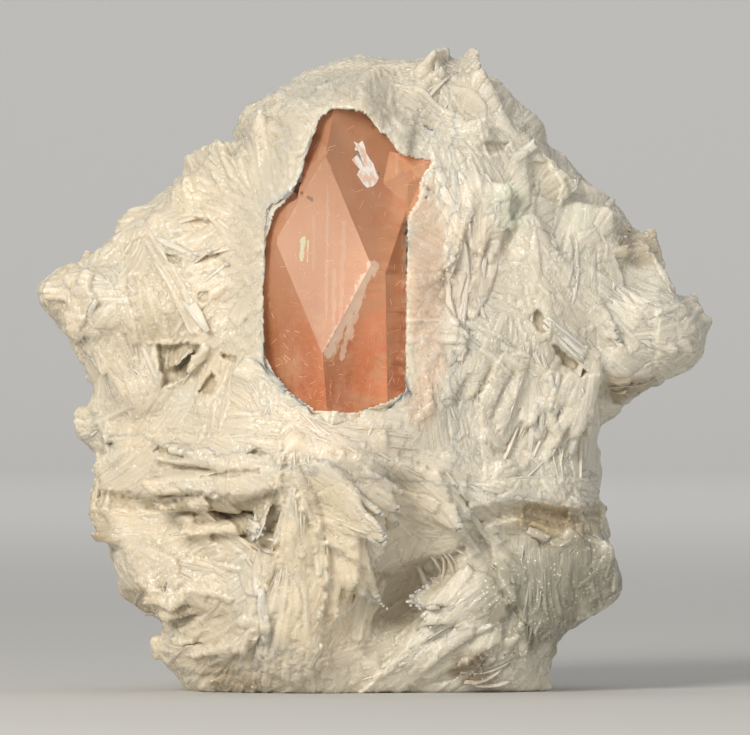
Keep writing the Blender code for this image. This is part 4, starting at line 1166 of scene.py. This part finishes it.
for mark_name, from_x, from_z, to_x, to_z, half, strength, colour in MARKS:
    way_x, way_z = (to_x - from_x) * MM, (to_z - from_z) * MM
    off_x, off_z = x - from_x * MM, z - from_z * MM
    along = ((off_x * way_x + off_z * way_z) * (1 / (way_x**2 + way_z**2))).clamp()
    gap_x, gap_z = off_x - along * way_x, off_z - along * way_z
    away = x.math("SQRT", gap_x * gap_x + gap_z * gap_z) + ragged * min(1.0, half)
    share = (1.0 - away.ramp(half * 0.55 * MM, half * 1.1 * MM)) * strength * y.ramp(-0.014, -0.017)
    tone = share.mix(tone, (*colour, 1))
tree.links.new(tone.link, shader.inputs["Base Color"])
shader.inputs["Roughness"].default_value = 0.09
shader.inputs["IOR"].default_value = 1.58
shader.inputs["Transmission Weight"].default_value = 0.45
body_colour = start.node("ShaderNodeVolumeAbsorption", None, Color=(0.92, 0.50, 0.22, 1), Density=18.0)
tree.links.new(body_colour.outputs[0], tree.nodes["Material Output"].inputs["Volume"])
gem.data.materials.append(peach)
gem.visible_shadow = False
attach(gem, "root")
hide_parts("morganite_crystal")

# A white flake on the crystal's upper face, ragged at its edge: its white is a painted highlight, standing
# for a light reflected in the face.
# It is a closed plate that follows the face and stands only just proud of it. Its edge as x and z.
FLAKE = [
    (-3.3, 91.0), (-2.7, 90.6), (-2.2, 91.1), (-1.9, 90.3), (-1.7, 89.2), (-1.3, 88.4), (-0.8, 87.6),
    (-0.5, 86.5), (-0.1, 85.6), (-0.4, 84.7), (-0.9, 84.2), (-1.6, 84.0), (-2.1, 84.6), (-2.5, 85.3),
    (-2.9, 86.0), (-2.5, 86.8), (-3.1, 87.5), (-3.5, 88.2), (-3.0, 88.8), (-2.6, 89.4), (-3.2, 89.7),
    (-3.0, 90.3),
]
FLAKE_X, FLAKE_Z = -1.9, 87.0
flake_points = []
for x, z in FLAKE + [(FLAKE_X, FLAKE_Z)]:
    x, z = FLAKE_X + 1.3 * (x - FLAKE_X), FLAKE_Z + 1.1 * (z - FLAKE_Z)
    flake_points.append((x, first_hit(gem_shape, x, z).y, z))
rim = len(FLAKE)
PROUD, ROOTED = -0.07, 0.12
verts = [(x * MM, (y + rise) * MM, z * MM) for rise in (PROUD, ROOTED) for x, y, z in flake_points]
faces = []
for n in range(rim):
    following = (n + 1) % rim
    faces.append((rim, following, n))
    faces.append((2 * rim + 1, rim + 1 + n, rim + 1 + following))
    faces.append((n, following, rim + 1 + following, rim + 1 + n))


def closed_mesh(name, verts, faces):
    """A mesh of closed shells, with every face turned outwards."""
    made = bpy.data.meshes.new(name)
    made.from_pydata(verts, [], faces)
    outward = bmesh.new()
    outward.from_mesh(made)
    bmesh.ops.recalc_face_normals(outward, faces=outward.faces)
    outward.to_mesh(made)
    outward.free()
    return made


flake_mesh = closed_mesh("flake", verts, faces)
flake = place("highlight_flake", flake_mesh)
highlight_finish, tree, shader, start = material("highlight flake")
place_in = Socket(tree, start.node("ShaderNodeTexCoord").outputs["Object"])
# Painted highlight: the flake is mottled from peach to near white, standing for the reflected light.
highlight_mottle = place_in.scaled(1.0, 1.0, 0.5).noise(1300.0, 3.0).ramp(0.35, 0.6)
tone = highlight_mottle.mix((0.90, 0.62, 0.48, 1), (1.0, 0.98, 0.95, 1))
tree.links.new(tone.link, shader.inputs["Base Color"])
shader.inputs["Roughness"].default_value = 0.35
flake_mesh.materials.append(highlight_finish)
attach(flake, "root")

# Fine straw-coloured needles that grew inside the morganite, most of them low in the stone. Each is a closed
# three-sided sliver, let into the face that it reaches.
NEEDLES = 230
NEEDLE_CORNERS = 6
needle_verts, needle_faces = [], []
picks = np.random.default_rng(5)
while len(needle_verts) < NEEDLES * NEEDLE_CORNERS:
    x, z = picks.uniform(-18, 8), 47 + 47 * picks.random() ** 1.7
    turn = picks.uniform(0, math.pi)
    half = picks.uniform(0.15, 0.75) * np.array([math.cos(turn), 0, math.sin(turn)])
    girth = picks.uniform(0.03, 0.07) * np.array([-math.sin(turn), 0, math.cos(turn)])
    ends = np.array([(x, 0, z) - half, (x, 0, z) + half])
    if depth_within(crystal_line, ends[:, 0], ends[:, 2]).min() < 0.5:
        continue
    hits = [gem_shape.ray_cast(Vector((end[0], -FAR, end[2])), Vector((0, 1, 0))) for end in ends]
    if hits[0][0] is None or hits[1][0] is None or (hits[0][1] - hits[1][1]).length > 0.01:
        continue
    start = len(needle_verts)
    for end, hit in zip(ends, hits):
        for off_x, off_z, off_y in ((girth[0], girth[2], 0.05), (-girth[0], -girth[2], 0.05), (0, 0, -0.035)):
            needle_verts.append(((end[0] + off_x) * MM, (hit[0].y + off_y) * MM, (end[2] + off_z) * MM))
    needle_faces += [[start, start + 1, start + 2], [start + 5, start + 4, start + 3]]
    for n in range(3):
        following = (n + 1) % 3
        needle_faces.append([start + n, start + 3 + n, start + 3 + following, start + following])
needle_mesh = closed_mesh("needles", needle_verts, needle_faces)
needles_piece = place("needle_inclusions", needle_mesh)
straw, tree, shader, start = material("straw-coloured needles")
shader.inputs["Base Color"].default_value = (0.93, 0.60, 0.40, 1)
shader.inputs["Roughness"].default_value = 0.4
needle_mesh.materials.append(straw)
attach(needles_piece, "root")

# The studio: a plain pale floor that curves up behind, soft lights, and the camera where the photograph was
# taken from, level with the middle of the piece.
PALE = (0.62, 0.62, 0.61, 1)
FLOOR_WIDTH = 9.0
FLOOR_FRONT = -4.5
CURVE_START = 2.10
CURVE_RADIUS = 0.60
CURVE_STEPS = 12
WALL_TOP = 2.4
steps = []
for n in range(CURVE_STEPS + 1):
    turn = math.radians(90 * n / CURVE_STEPS)
    steps.append((CURVE_START + CURVE_RADIUS * math.sin(turn), CURVE_RADIUS - CURVE_RADIUS * math.cos(turn)))
profile = [(FLOOR_FRONT, 0.0), *steps, (CURVE_START + CURVE_RADIUS, WALL_TOP)]
verts = [(side * FLOOR_WIDTH / 2, y, z) for y, z in profile for side in (-1, 1)]
faces = [(2 * n, 2 * n + 1, 2 * n + 3, 2 * n + 2) for n in range(len(profile) - 1)]
sweep = bpy.data.meshes.new("studio floor")
sweep.from_pydata(verts, [], faces)
sweep.polygons.foreach_set("use_smooth", [True] * len(faces))
floor = place("studio_floor", sweep)
paper, tree, shader, start = material("pale paper")
shader.inputs["Base Color"].default_value = PALE
shader.inputs["Roughness"].default_value = 0.9
sweep.materials.append(paper)


def light(name, spot, size, power, colour, target=(0, 0, 0.055)):
    data = bpy.data.lights.new(name, "AREA")
    data.shape = "RECTANGLE"
    data.size, data.size_y = size
    data.energy = power
    data.color = colour
    obj = bpy.data.objects.new(name, data)
    obj.location = spot
    aim = Vector(target) - Vector(spot)
    obj.rotation_euler = aim.to_track_quat("-Z", "Y").to_euler()
    bpy.context.scene.collection.objects.link(obj)
    return obj


light("key", (-0.48, -0.84, 0.52), (0.42, 0.42), 8.8, (1.0, 0.95, 0.87))
light("fill", (0.75, -0.75, 0.30), (0.7, 0.7), 1.1, (0.95, 0.97, 1.0))
light("top", (0.05, 0.15, 0.9), (0.6, 0.6), 0.9, (1, 0.99, 0.97))
bright_face = (-0.007, -0.02, 0.07)
panel = light(
    "panel for the bright face", (0.195, -1.45, 0.178), (0.26, 0.26), 0.95, (1, 0.86, 0.70), bright_face
)
panel.visible_camera = False
light("backdrop", (0.0, 1.2, 1.5), (1.8, 0.5), 16.0, (1, 0.99, 0.97), (0.0, 2.7, 0.3))

world = bpy.data.worlds.new("studio air")
world.use_nodes = True
air = world.node_tree.nodes["Background"]
air.inputs["Color"].default_value = (1.0, 0.985, 0.96, 1)
air.inputs["Strength"].default_value = 0.32
bpy.context.scene.world = world
bpy.context.scene.view_settings.view_transform = "Standard"

# Metres from the lens to the piece, metres across the frame there, and how far the lens stands above level.
DISTANCE = 2.0
FRAME_WIDTH = 0.125
SENSOR_WIDTH = 36.0
LIFT = math.radians(0.5)
aim = Vector((-0.0002, 0.0, 0.0539))
lens = bpy.data.cameras.new("camera")
lens.sensor_width = SENSOR_WIDTH
lens.lens = SENSOR_WIDTH * DISTANCE / FRAME_WIDTH
camera = bpy.data.objects.new("camera", lens)
camera.location = aim + Vector((0, -math.cos(LIFT), math.sin(LIFT))) * DISTANCE
camera.rotation_euler = (aim - camera.location).to_track_quat("-Z", "Y").to_euler()
bpy.context.scene.collection.objects.link(camera)
bpy.context.scene.camera = camera
